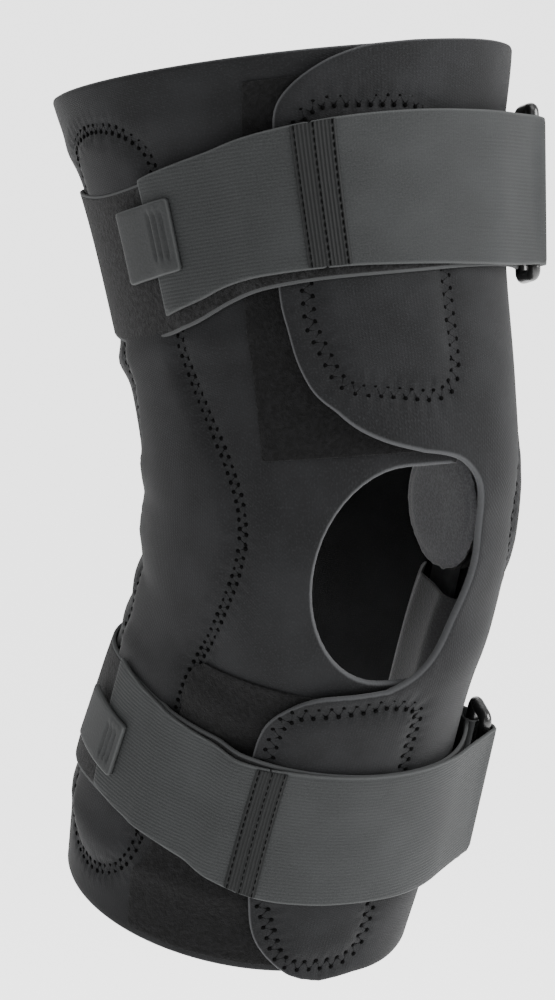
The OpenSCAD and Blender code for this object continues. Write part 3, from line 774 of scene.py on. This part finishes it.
class Steps:
    """Adds nodes to a Geometry Nodes tree: settings first, then values or links."""

    def __init__(self, tree):
        self.tree = tree
        self.given = tree.nodes.new("NodeGroupInput").outputs

    def add(self, kind, settings=None, inputs=None):
        node = self.tree.nodes.new(kind)
        for key, value in (settings or {}).items():
            setattr(node, key, value)
        for key, value in (inputs or {}).items():
            if isinstance(value, bpy.types.NodeSocket):
                self.tree.links.new(value, node.inputs[key])
            else:
                node.inputs[key].default_value = value
        return node.outputs

    def math(self, operation, a, b=0.0):
        return self.add("ShaderNodeMath", {"operation": operation}, {0: a, 1: b})[0]

    def finish(self, geometry):
        end = self.tree.nodes.new("NodeGroupOutput")
        self.tree.links.new(geometry, end.inputs[0])


def zigzag_tree():
    """A line of cloth becomes a zigzag thread with a flat dark disc at every turn of it, a painted shade for
    the needle hole there.
    """
    tree = new_tree("zigzag_seam", Pitch=0.0044, Width=0.0036, Thread=0.0003, Hole=0.0006, Finish=None)
    g = Steps(tree)
    line = g.add("GeometryNodeMeshToCurve", None, {0: g.given["Geometry"]})[0]
    up = g.add("GeometryNodeInputNamedAttribute", {"data_type": "FLOAT_VECTOR"}, {"Name": "up"})[0]
    half = g.math("MULTIPLY", g.given["Pitch"], 0.5)
    stitched = g.add("GeometryNodeResampleCurve", {"mode": "LENGTH"}, {"Curve": line, "Length": half})[0]
    odd = g.math("MODULO", g.add("GeometryNodeInputIndex")[0], 2.0)
    swing = g.math("MULTIPLY", g.math("SUBTRACT", odd, 0.5), g.given["Width"])
    along = g.add("GeometryNodeInputTangent")[0]
    across = g.add("ShaderNodeVectorMath", {"operation": "CROSS_PRODUCT"}, {0: up, 1: along})[0]
    offset = g.add("ShaderNodeVectorMath", {"operation": "SCALE"}, {0: across, "Scale": swing})[0]
    zigzag = g.add("GeometryNodeSetPosition", None, {"Geometry": stitched, "Offset": offset})[0]
    ring = g.add("GeometryNodeCurvePrimitiveCircle", None,
                 {"Resolution": 5, "Radius": g.given["Thread"]})[0]
    thread = g.add("GeometryNodeCurveToMesh", None, {"Curve": zigzag, "Profile Curve": ring})[0]
    # Painted shade: a flattened near-black ball at each turn stands for the shadow inside the needle hole.
    ball = g.add("GeometryNodeMeshUVSphere", None,
                 {"Segments": 8, "Rings": 5, "Radius": g.given["Hole"]})[0]
    hole_shade_disc = g.add("GeometryNodeTransform", None, {"Geometry": ball, "Scale": (1.0, 1.0, 0.5)})[0]
    points = g.add("GeometryNodeCurveToPoints", {"mode": "EVALUATED"}, {"Curve": zigzag})[0]
    turned = g.add("FunctionNodeAlignRotationToVector", {"axis": "Z"}, {"Vector": up})[0]
    hole_shade_discs = g.add("GeometryNodeInstanceOnPoints", None,
                  {"Points": points, "Instance": hole_shade_disc, "Rotation": turned})[0]
    joined = g.tree.nodes.new("GeometryNodeJoinGeometry")
    for part in (thread, hole_shade_discs):
        g.tree.links.new(part, joined.inputs[0])
    real = g.add("GeometryNodeRealizeInstances", None, {0: joined.outputs[0]})[0]
    g.finish(g.add("GeometryNodeSetMaterial", None, {0: real, "Material": g.given["Finish"]})[0])
    return tree


def run_tree():
    """A line becomes a row of short straight stitches, each pulled down at its ends."""
    tree = new_tree("straight_seam", Pitch=0.003, Length=0.0022, Thick=0.0007, Finish=None)
    g = Steps(tree)
    line = g.add("GeometryNodeMeshToCurve", None, {0: g.given["Geometry"]})[0]
    up = g.add("GeometryNodeInputNamedAttribute", {"data_type": "FLOAT_VECTOR"}, {"Name": "up"})[0]
    points = g.add("GeometryNodeCurveToPoints", {"mode": "LENGTH"},
                   {"Curve": line, "Length": g.given["Pitch"]})
    ball = g.add("GeometryNodeMeshUVSphere", None, {"Segments": 8, "Rings": 6, "Radius": 0.5})[0]
    size = g.add("ShaderNodeCombineXYZ", None, {0: g.given["Length"], 1: g.given["Thick"],
                                               2: g.given["Thick"]})[0]
    stitch = g.add("GeometryNodeTransform", None, {"Geometry": ball, "Scale": size})[0]
    lain = g.add("FunctionNodeAlignRotationToVector", {"axis": "X"}, {"Vector": points["Tangent"]})[0]
    turned = g.add("FunctionNodeAlignRotationToVector", {"axis": "Z", "pivot_axis": "X"},
                   {"Rotation": lain, "Vector": up})[0]
    rows = g.add("GeometryNodeInstanceOnPoints", None,
                 {"Points": points["Points"], "Instance": stitch, "Rotation": turned})[0]
    real = g.add("GeometryNodeRealizeInstances", None, {0: rows})[0]
    g.finish(g.add("GeometryNodeSetMaterial", None, {0: real, "Material": g.given["Finish"]})[0])
    return tree


def sewn(name, lines, tree, finish, **sizes):
    """The mesh that a tree of stitches makes of some lines, each given as points and ways out."""
    points = np.concatenate([p for p, up in lines])
    ups = np.concatenate([up for p, up in lines])
    edges, start = [], 0
    for p, up in lines:
        edges += [(start + i, start + i + 1) for i in range(len(p) - 1)]
        start += len(p)
    mesh = bpy.data.meshes.new(name + "_line")
    mesh.from_pydata([tuple(p) for p in points * MM], edges, [])
    mesh.attributes.new("up", "FLOAT_VECTOR", "POINT").data.foreach_set("vector", ups.ravel())
    line = bpy.data.objects.new(name + "_line", mesh)
    bpy.context.scene.collection.objects.link(line)
    modifier = line.modifiers.new("stitches", "NODES")
    modifier.node_group = tree
    sizes["Finish"] = finish
    for item in tree.interface.items_tree:
        if item.in_out == "INPUT" and item.name in sizes:
            modifier[item.identifier] = sizes[item.name]
    line.update_tag()
    depsgraph = bpy.context.evaluated_depsgraph_get()
    made = bpy.data.meshes.new_from_object(line.evaluated_get(depsgraph))
    piece = bpy.data.objects.new(name, made)
    made.name = name
    bpy.context.scene.collection.objects.link(piece)
    bpy.data.objects.remove(line)
    made.polygons.foreach_set("use_smooth", np.ones(len(made.polygons), bool))
    return piece


def by_half(points, ups):
    """A line's stretches above and below the middle of the hinge links."""
    above = points @ np.array(LINK_WAY) > 0
    cuts = np.flatnonzero(above[1:] != above[:-1]) + 1
    pieces = zip(np.split(points, cuts), np.split(ups, cuts), np.split(above, cuts))
    return [("upper" if a[0] else "lower", p, u) for p, u, a in pieces if len(p) > 2]


def sew_wrap(tree, finish):
    rows = {}
    for _, line, width, pitch in seam_lines():
        points, ups = on_wrap(dense(line, 1.2, False), -0.12)
        for half, p, u in by_half(points, ups):
            rows.setdefault((half, width, pitch), []).append((p, u))
    for (half, width, pitch), lines in rows.items():
        kind = "quilting" if width == WIDE_ZIGZAG[0] else "pocket"
        # Hole sets the size of the painted shade disc at each needle hole.
        piece = sewn(f"{half}_{kind}_stitches", lines, tree, finish, Pitch=pitch * MM,
                     Width=width * MM, Thread=0.18 * MM, Hole=0.85 * MM)
        bend_with(piece, half)


# ---- Hook and loop patches ---------------------------------------------
PATCH_ROOT = -8
LOOP_PATCHES = {
    "thigh": ([[53, 22], [52.5, 45], [51, 73.5], [48, 100], [44, 125], [41, 147]], "upper"),
    "calf": ([[67.6, -148], [69, -128], [64.5, -115], [69, -62], [70, -45], [66, -39]], "lower")}
HOOK_PATCHES = {
    "thigh": ([[23, 40], [30, 48], [31, 60], [31, 74], [30, 100], [26, 133]], "upper"),
    "calf": ([[8, -142], [18, -134.6], [24, -123], [29, -95], [33.5, -65], [33, -50]], "lower")}


def patch_outline(edge, radius):
    edge = smooth(edge)
    loop = np.concatenate([edge, [[PATCH_ROOT, edge[-1][1]], [PATCH_ROOT, edge[0][1]]]])
    flat = to_flat(loop)
    turned = (flat[:, 0] * np.roll(flat, -1, 0)[:, 1] - flat[:, 1] * np.roll(flat, -1, 0)[:, 0]).sum()
    return rounded(flat if turned > 0 else flat[::-1], radius)


def under_panel(turn, s):
    """The under panel's own swellings: it is the far end of the wrap, a full turn back."""
    return relief(turn - 360, s)


def make_patches(loop_finish, hook_finish_):
    kinds = (("loop", LOOP_PATCHES, 0.05, 0.95, under_panel, loop_finish, "loop_pile"),
             ("hook", HOOK_PATCHES, 1.05, 1.6, lambda turn, s: 0 * turn, hook_finish_, "hook_tape"))
    for kind, patches, low, high, lie, finish, slot in kinds:
        for leg, (edge, half) in patches.items():
            piece = sheet(f"{leg}_{kind}_tape", patch_outline(edge, 3),
                          lambda turn, s: lie(turn, s) + low, lambda turn, s: lie(turn, s) + high,
                          finish, gap=2.0, rim=0.25)
            declare(piece, "laid", f"{half}_wrap")
            bend_with(piece, half)
            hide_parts(f"{leg}_{kind}_patch")


# ---- Straps ------------------------------------------------------------
STRAP = 1.4
RING_TURN = -56
RING_OUT = 10
WIRE = 2.3
WIRE_PLAY = 0.4
LEG_RADIUS = 70
STRAP_GAP = 0.55
ON_SLEEVE = 0.45
OVER_LOOPS = 1.4
OVER_FLAP = 5.4
UNDER_RING = 3.0
LEAVES_RING = -55.2
FOLD_START = 108
FOLD_END = -50
FOLD_TURNS = 8.0
# The turn over which the strap passes from its fold to its place over the leg
EASES_OVER = 5
TAB_THICK = 1.7
# Straight stitches, already in metres
STITCH_PITCH = 2.6 * MM
STITCH_LENGTH = 2.1 * MM
STRAPS = {
    "thigh": dict(
        base_bottom=[[-60, 78.6], [-49, 78], [-20, 77.5], [5, 76.7], [33, 76.5], [51, 74], [70, 67], [95, 65],
                     [125, 73], [160, 80], [200, 81], [240, 79], [276, 78]],
        base_top=[[-60, 130], [-49, 130], [-20, 130], [5, 130], [33, 129], [51, 125], [70, 120], [95, 118],
                  [125, 124], [160, 130], [200, 131], [240, 130], [276, 130]],
        bottom=[[-56, 79], [-38, 78], [-20, 78], [5, 79.4], [25, 80.5], [50, 79.5], [63, 75.4], [76, 72]],
        top=[[-56, 131], [-38, 131], [-19, 131.4], [1, 132], [20, 131.4], [38, 129], [54, 125], [76, 120]],
        seam=(20, 31), join=26, end=(76, 76), ring=(79, 131), tab=(66, 86, 86.5, 112, -2)),
    "calf": dict(
        base_bottom=[[-60, -120.4], [-49, -120], [-20, -119], [5, -118], [31, -116], [50, -114], [72, -110],
                     [95, -109], [125, -114], [160, -120], [200, -120], [240, -120], [276, -120]],
        base_top=[[-60, -70.4], [-49, -70], [-20, -68], [5, -67], [31, -66], [50, -64], [72, -62],
                  [95, -60], [125, -65], [160, -71], [200, -71], [240, -71], [276, -70]],
        bottom=[[-56, -121], [-38, -120], [-23, -120], [-2, -119], [14.5, -119], [31, -118],
                [53, -112], [72, -109], [92, -106]],
        top=[[-56, -70], [-38, -68.5], [-20, -67], [0, -66.5], [25, -66.6], [41, -67],
             [58, -64.6], [80, -61], [100, -58]],
        seam=(29, 38), join=34, end=(92, 100), ring=(-121, -70), tab=(84, 108, -98, -77, 2))}


WRAP_HALF = {"thigh": "upper_wrap", "calf": "lower_wrap"}


def tangent_out(turn, start, out):
    """Height of a strap that leaves a round leg along a tangent."""
    away = np.radians(np.maximum(0, start - np.maximum(turn, RING_TURN)))
    return (LEG_RADIUS + out) / np.cos(away) - LEG_RADIUS


def base_rise(turn):
    return (ON_SLEEVE + (OVER_LOOPS - ON_SLEEVE) * ramp((76 - turn) / 5)
            + (OVER_FLAP - OVER_LOOPS) * ramp((54 - turn) / 11))


def base_low(turn, s):
    return base_rise(turn) + (UNDER_RING - OVER_FLAP) * ramp((-20 - turn) / 36)


def base_high(turn, s):
    return base_low(turn, s) + STRAP


def return_low(turn, s):
    rise = (0.6 + (OVER_LOOPS - 0.6) * ramp((76 - turn) / 5)
            + (OVER_FLAP - OVER_LOOPS) * ramp((54 - turn) / 11))
    return tangent_out(turn, -35, rise + STRAP + STRAP_GAP)


def return_high(turn, s):
    return return_low(turn, s) + STRAP


class RingFrame:
    """The place of a strap's ring: the bar that the strap folds round, and the ways back and out."""

    def __init__(self, low, high):
        middle = (low + high) / 2
        self.start = skin(RING_TURN, low, RING_OUT)
        end = skin(RING_TURN, high, RING_OUT)
        self.length = np.linalg.norm(end - self.start)
        self.bar = unit(end - self.start)
        step = skin(RING_TURN - 5, middle, RING_OUT) - skin(RING_TURN, middle, RING_OUT)
        self.back = unit(step - (step @ self.bar) * self.bar)
        self.out = -np.cross(self.bar, self.back)
        self.low, self.high = low, high

    def place(self, back, out, along):
        back, out, along = (np.asarray(v, float)[..., None] for v in (back, out, along))
        return self.start + back * self.back + out * self.out + along * self.bar

    def fold(self, turn, s, out):
        """Past the ring's bar the strap is folded round it: turn then counts along the fold."""
        share = np.clip((LEAVES_RING - turn) / FOLD_TURNS, 0, 1)
        angle = np.radians(FOLD_START + (FOLD_END - FOLD_START) * share)
        radius = WIRE + WIRE_PLAY + out - return_low(np.full(len(turn), LEAVES_RING), s)
        along = (s - self.low) / (self.high - self.low) * self.length
        folded = self.place(radius * np.cos(angle), radius * np.sin(angle), along)
        on_leg = skin(turn, s, out)
        eased = ramp((turn - LEAVES_RING) / EASES_OVER)[:, None]
        shift = folded - skin(np.full(len(turn), LEAVES_RING), s, out)
        return np.where((turn < LEAVES_RING)[:, None], folded, on_leg + shift * (1 - eased))


def ribbon(bottom, top, radius):
    """A strap's outline on the flat cloth, from its two edges, which run towards the outer side."""
    return rounded(to_flat(np.concatenate([bottom[::-1], top])), radius)


def between(edge, start, end):
    line = smooth(edge)
    turns = np.array([t for t in line[:, 0] if start < t < end])
    turns = np.concatenate([[start], turns, [end]])
    return np.stack([turns, np.interp(turns, line[:, 0], line[:, 1])], 1)


def fine_points(low, high, s_low, s_high, gap):
    x = np.arange(low, high, gap / DEGREE)
    y = np.arange(s_low, s_high, 2.0)
    return to_flat(np.stack(np.meshgrid(x, y), -1).reshape(-1, 2))


def tab_groove(start, s_low, s_high):
    """The depth of three short grooves near the tab's front edge."""
    def depth(turn, s):
        lengthwise = ramp((s - s_low - 4) / 2) * ramp((s_high - 3 - s) / 2)
        lines = sum(np.exp(-((turn - start - k) / 0.5)**2) for k in (3.0, 5.2, 7.4))
        return lines * lengthwise
    return depth


def make_strap(leg, finishes):
    plan = STRAPS[leg]
    strap = f"{leg}_strap"
    wrap = WRAP_HALF[leg]
    ring = RingFrame(*plan["ring"])
    pile, gray, seam, tab = finishes

    base = sheet(f"{leg}_pile_strap", ribbon(smooth(plan["base_bottom"]), smooth(plan["base_top"]), 2),
                 base_low, base_high, pile, gap=2.4, rim=0.5)
    declare(base, "stretched", wrap)
    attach(base, leg)
    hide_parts(f"{leg}_strap_base")

    fold_end = LEAVES_RING - FOLD_TURNS
    low, high = plan["ring"]
    edges = [np.concatenate([[[fold_end, s]], between(edge, RING_TURN + 1, plan["join"])])
             for edge, s in ((plan["bottom"], low), (plan["top"], high))]
    extra = fine_points(fold_end, LEAVES_RING + 3, low, high, 0.9)
    front = sheet(f"{leg}_gray_strap", ribbon(*edges, 0.8), return_low, return_high, gray,
                  gap=2.2, rim=0.45, place=ring.fold, extra=extra, fine=0.8)
    declare(front, "folded", f"{leg}_loop_ring")
    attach(front, strap)
    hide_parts(f"{leg}_strap_return")

    edges = [between(plan[k], plan["join"] + 0.2, to) for k, to in zip(("bottom", "top"), plan["end"])]
    end = sheet(f"{leg}_gray_strap_end", ribbon(*edges, 4), return_low, return_high, gray,
                gap=2.2, rim=0.45)
    declare(end, "laid", f"{leg}_pile_strap")
    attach(end, strap)
    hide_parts(f"{leg}_strap_end")

    edges = [between(plan[k], *plan["seam"]) for k in ("bottom", "top")]
    edges = [edges[0] + (0, 0.5), edges[1] - (0, 0.5)]
    band = sheet(f"{leg}_seam_band", ribbon(*edges, 0.6), lambda turn, s: return_high(turn, s) + 0.02,
                 lambda turn, s: return_high(turn, s) + 0.6, seam, gap=1.6, rim=0.3)
    declare(band, "laid", f"{leg}_gray_strap")
    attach(band, strap)
    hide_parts(f"{leg}_strap_seam")

    start, stop, s_low, s_high, slope = plan["tab"]
    bottom = np.array([[start, s_low], [(start + stop) / 2, s_low + slope / 2], [stop, s_low + slope]])
    groove = tab_groove(start, s_low, s_high)

    def tab_low(turn, s):
        return return_high(np.minimum(turn, 90), s) + 0.2

    pull = sheet(f"{leg}_pull_tab", ribbon(bottom, bottom + (0, s_high - s_low), 1.5), tab_low,
                 lambda turn, s: tab_low(turn, s) + TAB_THICK - groove(turn, s), tab, gap=1.8, rim=0.5,
                 extra=fine_points(start + 1.5, start + 9, s_low + 2, s_high - 1, 0.45), fine=0.4)
    declare(pull, "laid", f"{leg}_gray_strap_end")
    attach(pull, strap)
    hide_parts(f"{leg}_strap_tab")


def sew_strap(leg, tree, finish):
    """Straight stitches down both sides and the middle of the seam band."""
    plan = STRAPS[leg]
    lines = []
    start, stop = plan["seam"]
    bottoms, tops = (between(plan[k], start, stop) for k in ("bottom", "top"))
    for turn in (start + 0.9, (start + stop) / 2, stop - 0.9):
        low, high = (np.interp(turn, e[:, 0], e[:, 1]) for e in (bottoms, tops))
        s = np.linspace(low + 1.5, high - 1.5, 50)
        turns = np.full(50, turn)
        height = return_high(turns, s) + 0.65
        here = skin(turns, s, height)
        lines.append((here, unit(skin(turns, s, height + 1) - here)))
    piece = sewn(f"{leg}_seam_stitches", lines, tree, finish,
                 Pitch=STITCH_PITCH, Length=STITCH_LENGTH, Thick=0.5 * MM)
    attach(piece, f"{leg}_strap")


# ---- Rings and what holds them -----------------------------------------
RING_REACH = 12
RING_DROP = 4.2
RING_SPARE = 3.2
RING_CORNER = 2.6
KEEPER_WIDTH = 44
KEEPER = 1.2
TAIL_LENGTH = 15
TAIL_TURN = math.radians(-20)


def swept(name, centres, normals, across, profile, finish, closed=False):
    """A profile of (across, out) points carried along a path, with UVs along it."""
    n, m = len(centres), len(profile)
    points = np.concatenate([c + profile[:, :1] * a + profile[:, 1:] * u
                             for c, a, u in zip(centres, across, normals)])
    along = np.concatenate([[0], np.cumsum(np.linalg.norm(np.diff(centres, axis=0), axis=1))])
    uv = np.stack([np.repeat(along, m), np.tile(profile[:, 0], n)], 1)
    hem = np.tile(profile[:, 0].max() - np.abs(profile[:, 0]), n)
    faces = []
    for i in range(n if closed else n - 1):
        a, b = i * m, (i + 1) % n * m
        faces += [(a + k, a + (k + 1) % m, b + (k + 1) % m, b + k) for k in range(m)]
    if not closed:
        faces += [tuple(range(m))[::-1], tuple((n - 1) * m + k for k in range(m))]
    piece = new_piece(name, points, faces, finish, uv=uv, hem=hem)
    bm = bmesh.new()
    bm.from_mesh(piece.data)
    bmesh.ops.recalc_face_normals(bm, faces=bm.faces)
    bm.to_mesh(piece.data)
    bm.free()
    return piece


def circle(radius, steps):
    turns = np.linspace(0, 2 * math.pi, steps, endpoint=False)
    return radius * np.stack([np.cos(turns), np.sin(turns)], 1)


def make_ring(leg, plastic):
    ring = RingFrame(*STRAPS[leg]["ring"])
    reach = math.hypot(RING_REACH, RING_DROP)
    tilt = math.atan2(-RING_DROP, RING_REACH)
    low, high = -RING_SPARE, ring.length + RING_SPARE
    corners = np.array([[0.0, low], [reach, low], [reach, high], [0, high]])
    loop = rounded(dense(corners, 30), RING_CORNER)
    loop = dense(loop, 2.5)
    centres = ring.place(loop[:, 0] * math.cos(tilt), loop[:, 0] * math.sin(tilt), loop[:, 1])
    way = unit(np.roll(centres, -1, 0) - np.roll(centres, 1, 0))
    plane = unit(np.cross(ring.place(math.cos(tilt), math.sin(tilt), 0) - ring.start, ring.bar))
    across = np.cross(way, plane)
    piece = swept(f"{leg}_loop_ring", centres, [plane] * len(centres), across, circle(WIRE, 16),
                  plastic, closed=True)
    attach(piece, leg)
    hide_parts(f"{leg}_ring")


def make_keeper(leg, webbing, tree, thread):
    ring = RingFrame(*STRAPS[leg]["ring"])
    radius = WIRE + WIRE_PLAY + KEEPER / 2
    turns = np.linspace(-math.pi / 2, -3 * math.pi / 2 - 0.5, 15)
    lower = np.array([[x, -radius] for x in np.linspace(TAIL_LENGTH, 1, 8)])
    round_bar = radius * np.stack([np.cos(turns), np.sin(turns)], 1)
    upper = smooth([round_bar[-1], [5.2, 1.2], [8.5, -radius + KEEPER + 0.25],
                    [TAIL_LENGTH - 0.6, -radius + KEEPER]], 5)
    line = np.concatenate([lower, round_bar, upper[1:]])
    c, s = math.cos(TAIL_TURN), math.sin(TAIL_TURN)
    line = line @ np.array([[c, s], [-s, c]]) + (RING_REACH, -RING_DROP)
    centres = ring.place(line[:, 0], line[:, 1], ring.length / 2)
    way = unit(np.gradient(centres, axis=0))
    across = np.repeat(ring.bar[None], len(centres), 0)
    normals = np.cross(across, way)
    half, thick, soft = KEEPER_WIDTH / 2, KEEPER / 2, 0.35
    lower_side = np.array([[-half, -thick + soft], [-half + soft, -thick],
                           [half - soft, -thick], [half, -thick + soft]])
    profile = np.concatenate([lower_side, -lower_side])
    piece = swept(f"{leg}_ring_holder", centres, normals, across, profile, webbing)
    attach(piece, leg)
    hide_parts(f"{leg}_ring_keeper")
    lines = []
    top = centres[-1] - centres[-3]
    out = unit(np.cross(ring.bar, unit(top)))
    out = out if out @ ring.out > 0 else -out
    for share in (0.15, 0.85):
        spot = centres[-1] - top * (0.3 + 1.1 * share) + out * (thick + 0.05)
        row = spot + np.linspace(-half + 2.5, half - 2.5, 30)[:, None] * ring.bar
        lines.append((row, np.repeat(out[None], len(row), 0)))
    stitches = sewn(f"{leg}_holder_stitches", lines, tree, thread,
                    Pitch=STITCH_PITCH, Length=STITCH_LENGTH, Thick=0.6 * MM)
    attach(stitches, leg)


# ---- Inside: bar linings, hinge pads and the hinges' own metal -----------
POCKET_HALF = 20
POCKET_FLAT = 9
LINING = 0.8
LININGS = {"upper": (95, 10.8, 28.5, 139), "lower": (86, 9.9, -142, -28)}
PAD_RADIUS = 23.2
PAD_FACE = 51.2
PAD_THICK = 4.0
PAD_SWELL = 0.4


def make_linings(finish):
    for half, (middle, depth, low, high) in LININGS.items():
        for side, way in (("lateral", 1), ("medial", -1)):
            def face(turn, s, middle=middle * way, depth=depth):
                share = ramp((np.abs(turn - middle) - POCKET_FLAT) / (POCKET_HALF - POCKET_FLAT))
                return -3.8 - depth * (1 - share)
            corners = [[middle * way + POCKET_HALF, low], [middle * way - POCKET_HALF, low],
                       [middle * way - POCKET_HALF, high], [middle * way + POCKET_HALF, high]]
            piece = sheet(f"{side}_{half}_lining", rounded(to_flat(corners), 6),
                          lambda turn, s, face=face: face(turn, s) - LINING, face, finish,
                          gap=2.6, rim=0.3)
            declare(piece, "stretched", f"{half}_wrap")
            bend_with(piece, half)
            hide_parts(f"{side}_{half}_pocket")


def make_pad(finish):
    """A foam pad in a knitted cover. Cloth swells it, by PAD_SWELL at most."""
    rings, spokes = 14, 56
    half = PAD_THICK / 2 - 0.45
    points, faces = [(0.0, 0.0, half)], []
    radii = [PAD_RADIUS * math.sin(math.pi * k / (2 * rings)) for k in range(1, rings)]
    levels = [(r, half * (1 - (r / PAD_RADIUS)**6)) for r in radii]
    levels += [(PAD_RADIUS, 0.0)] + [(r, -z) for r, z in reversed(levels)]
    for r, z in levels:
        points += [(r * math.cos(2 * math.pi * k / spokes), r * math.sin(2 * math.pi * k / spokes), z)
                   for k in range(spokes)]
    points.append((0.0, 0.0, -half))
    last = len(points) - 1
    for k in range(spokes):
        n = (k + 1) % spokes
        faces.append((0, 1 + k, 1 + n))
        faces.append((last, last - spokes + n, last - spokes + k))
        for i in range(len(levels) - 1):
            a, b = 1 + i * spokes, 1 + (i + 1) * spokes
            faces.append((a + k, b + k, b + n, a + n))
    pad = new_piece("pad_form", points, faces, finish)
    remesh = pad.modifiers.new("remesh", "REMESH")
    remesh.mode = "VOXEL"
    remesh.voxel_size = 1.1 * MM
    keep_result(pad)
    rest = vertices(pad)
    cloth = pad.modifiers.new("cover", "CLOTH")
    cloth.settings.use_pressure = True
    cloth.settings.uniform_pressure_force = 4
    cloth.settings.effector_weights.gravity = 0
    cloth.point_cache.frame_end = 20
    for step in range(1, 21):
        bpy.context.scene.frame_set(step)
    keep_result(pad)
    bpy.context.scene.frame_set(1)
    moved = vertices(pad) - rest
    size = np.linalg.norm(moved, axis=1, keepdims=True)
    soft = rest + moved * np.minimum(1, PAD_SWELL * MM / np.maximum(size, 1e-9))
    radius = np.hypot(soft[:, 0], soft[:, 1]) / MM
    inset = PAD_RADIUS - radius
    piping = np.exp(-((inset - 1.2) / 0.9)**2) - 0.6 * np.exp(-((inset - 3.6) / 0.8)**2)
    soft[:, 2] += np.sign(soft[:, 2]) * piping * 0.3 * MM
    pad.data.vertices.foreach_set("co", soft.ravel())
    smoother = pad.modifiers.new("finer", "SUBSURF")
    smoother.levels = smoother.render_levels = 1
    keep_result(pad)
    return pad


def vertices(piece):
    points = np.zeros(len(piece.data.vertices) * 3)
    piece.data.vertices.foreach_get("co", points)
    return points.reshape(-1, 3)


def keep_result(piece):
    """Applies a piece's modifiers to its mesh."""
    depsgraph = bpy.context.evaluated_depsgraph_get()
    mesh = bpy.data.meshes.new_from_object(piece.evaluated_get(depsgraph))
    piece.modifiers.clear()
    piece.data = mesh


def make_pads(finish):
    form = make_pad(finish)
    base = vertices(form)
    for side, way in (("lateral", -1), ("medial", 1)):
        pad = form.copy()
        pad.data = form.data.copy()
        pad.name = pad.data.name = f"{side}_hinge_pad"
        bpy.context.scene.collection.objects.link(pad)
        middle = (PAD_FACE - PAD_THICK / 2) * MM
        turned = np.stack([way * (base[:, 2] + middle), base[:, 0], way * base[:, 1]], 1)
        pad.data.vertices.foreach_set("co", turned.ravel())
        pad.data.polygons.foreach_set("use_smooth", np.ones(len(pad.data.polygons), bool))
        pad.data.update()
        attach(pad, f"{side}_link")
        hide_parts(f"{side}_condyle_pad")
    bpy.data.objects.remove(form)


def finish_metal(aluminium, steel, vinyl):
    for side in ("lateral", "medial"):
        wear = {f"{side}_upper_bar": aluminium, f"{side}_lower_bar": aluminium,
                f"{side}_outer_plate": steel, f"{side}_inner_plate": steel, f"{side}_rivets": steel,
                f"{side}_stop_post": steel, f"{side}_upper_bar_cap": vinyl, f"{side}_lower_bar_cap": vinyl}
        for node, finish in wear.items():
            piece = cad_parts[node]
            if not piece.material_slots:
                piece.data.materials.append(finish)
            for slot in piece.material_slots:
                slot.material = finish


# ---- The brace -----------------------------------------------------------
def make_brace():
    set_studio()
    thread = thread_finish()
    black = pile_finish("black_webbing", (0.003, 0.003, 0.003), (0.013, 0.013, 0.0135),
                        border=(0.030, 0.031, 0.0315))
    zigzag, straight = zigzag_tree(), run_tree()
    make_wrap(neoprene_finish())
    sew_wrap(zigzag, thread)
    loops = pile_finish("loop_pile", (0.0015, 0.0015, 0.0015), (0.0055, 0.0055, 0.0058))
    make_patches(loops, hook_finish())
    finishes = (black, gray_webbing_finish(), seam_finish(), tab_finish())
    plastic = plastic_finish("ring_plastic", (0.006, 0.006, 0.006), (0.014, 0.014, 0.014), 0.22)
    for leg in STRAPS:
        make_strap(leg, finishes)
        sew_strap(leg, straight, thread)
        make_ring(leg, plastic)
        make_keeper(leg, black, straight, thread)
    make_linings(cover_finish("lining", (0.010, 0.010, 0.011), (0.028, 0.028, 0.030)))
    make_pads(cover_finish("pad_cover", (0.05, 0.05, 0.055), (0.12, 0.12, 0.125)))
    finish_metal(metal_finish("aluminium", (0.30, 0.305, 0.31), (0.62, 0.63, 0.64), 0.34, (1, 1, 0.06)),
                 metal_finish("steel", (0.38, 0.38, 0.38), (0.68, 0.68, 0.67), 0.22, (1, 1, 0.4)),
                 plastic_finish("vinyl", (0.010, 0.010, 0.010), (0.022, 0.022, 0.023), 0.4))


make_brace()
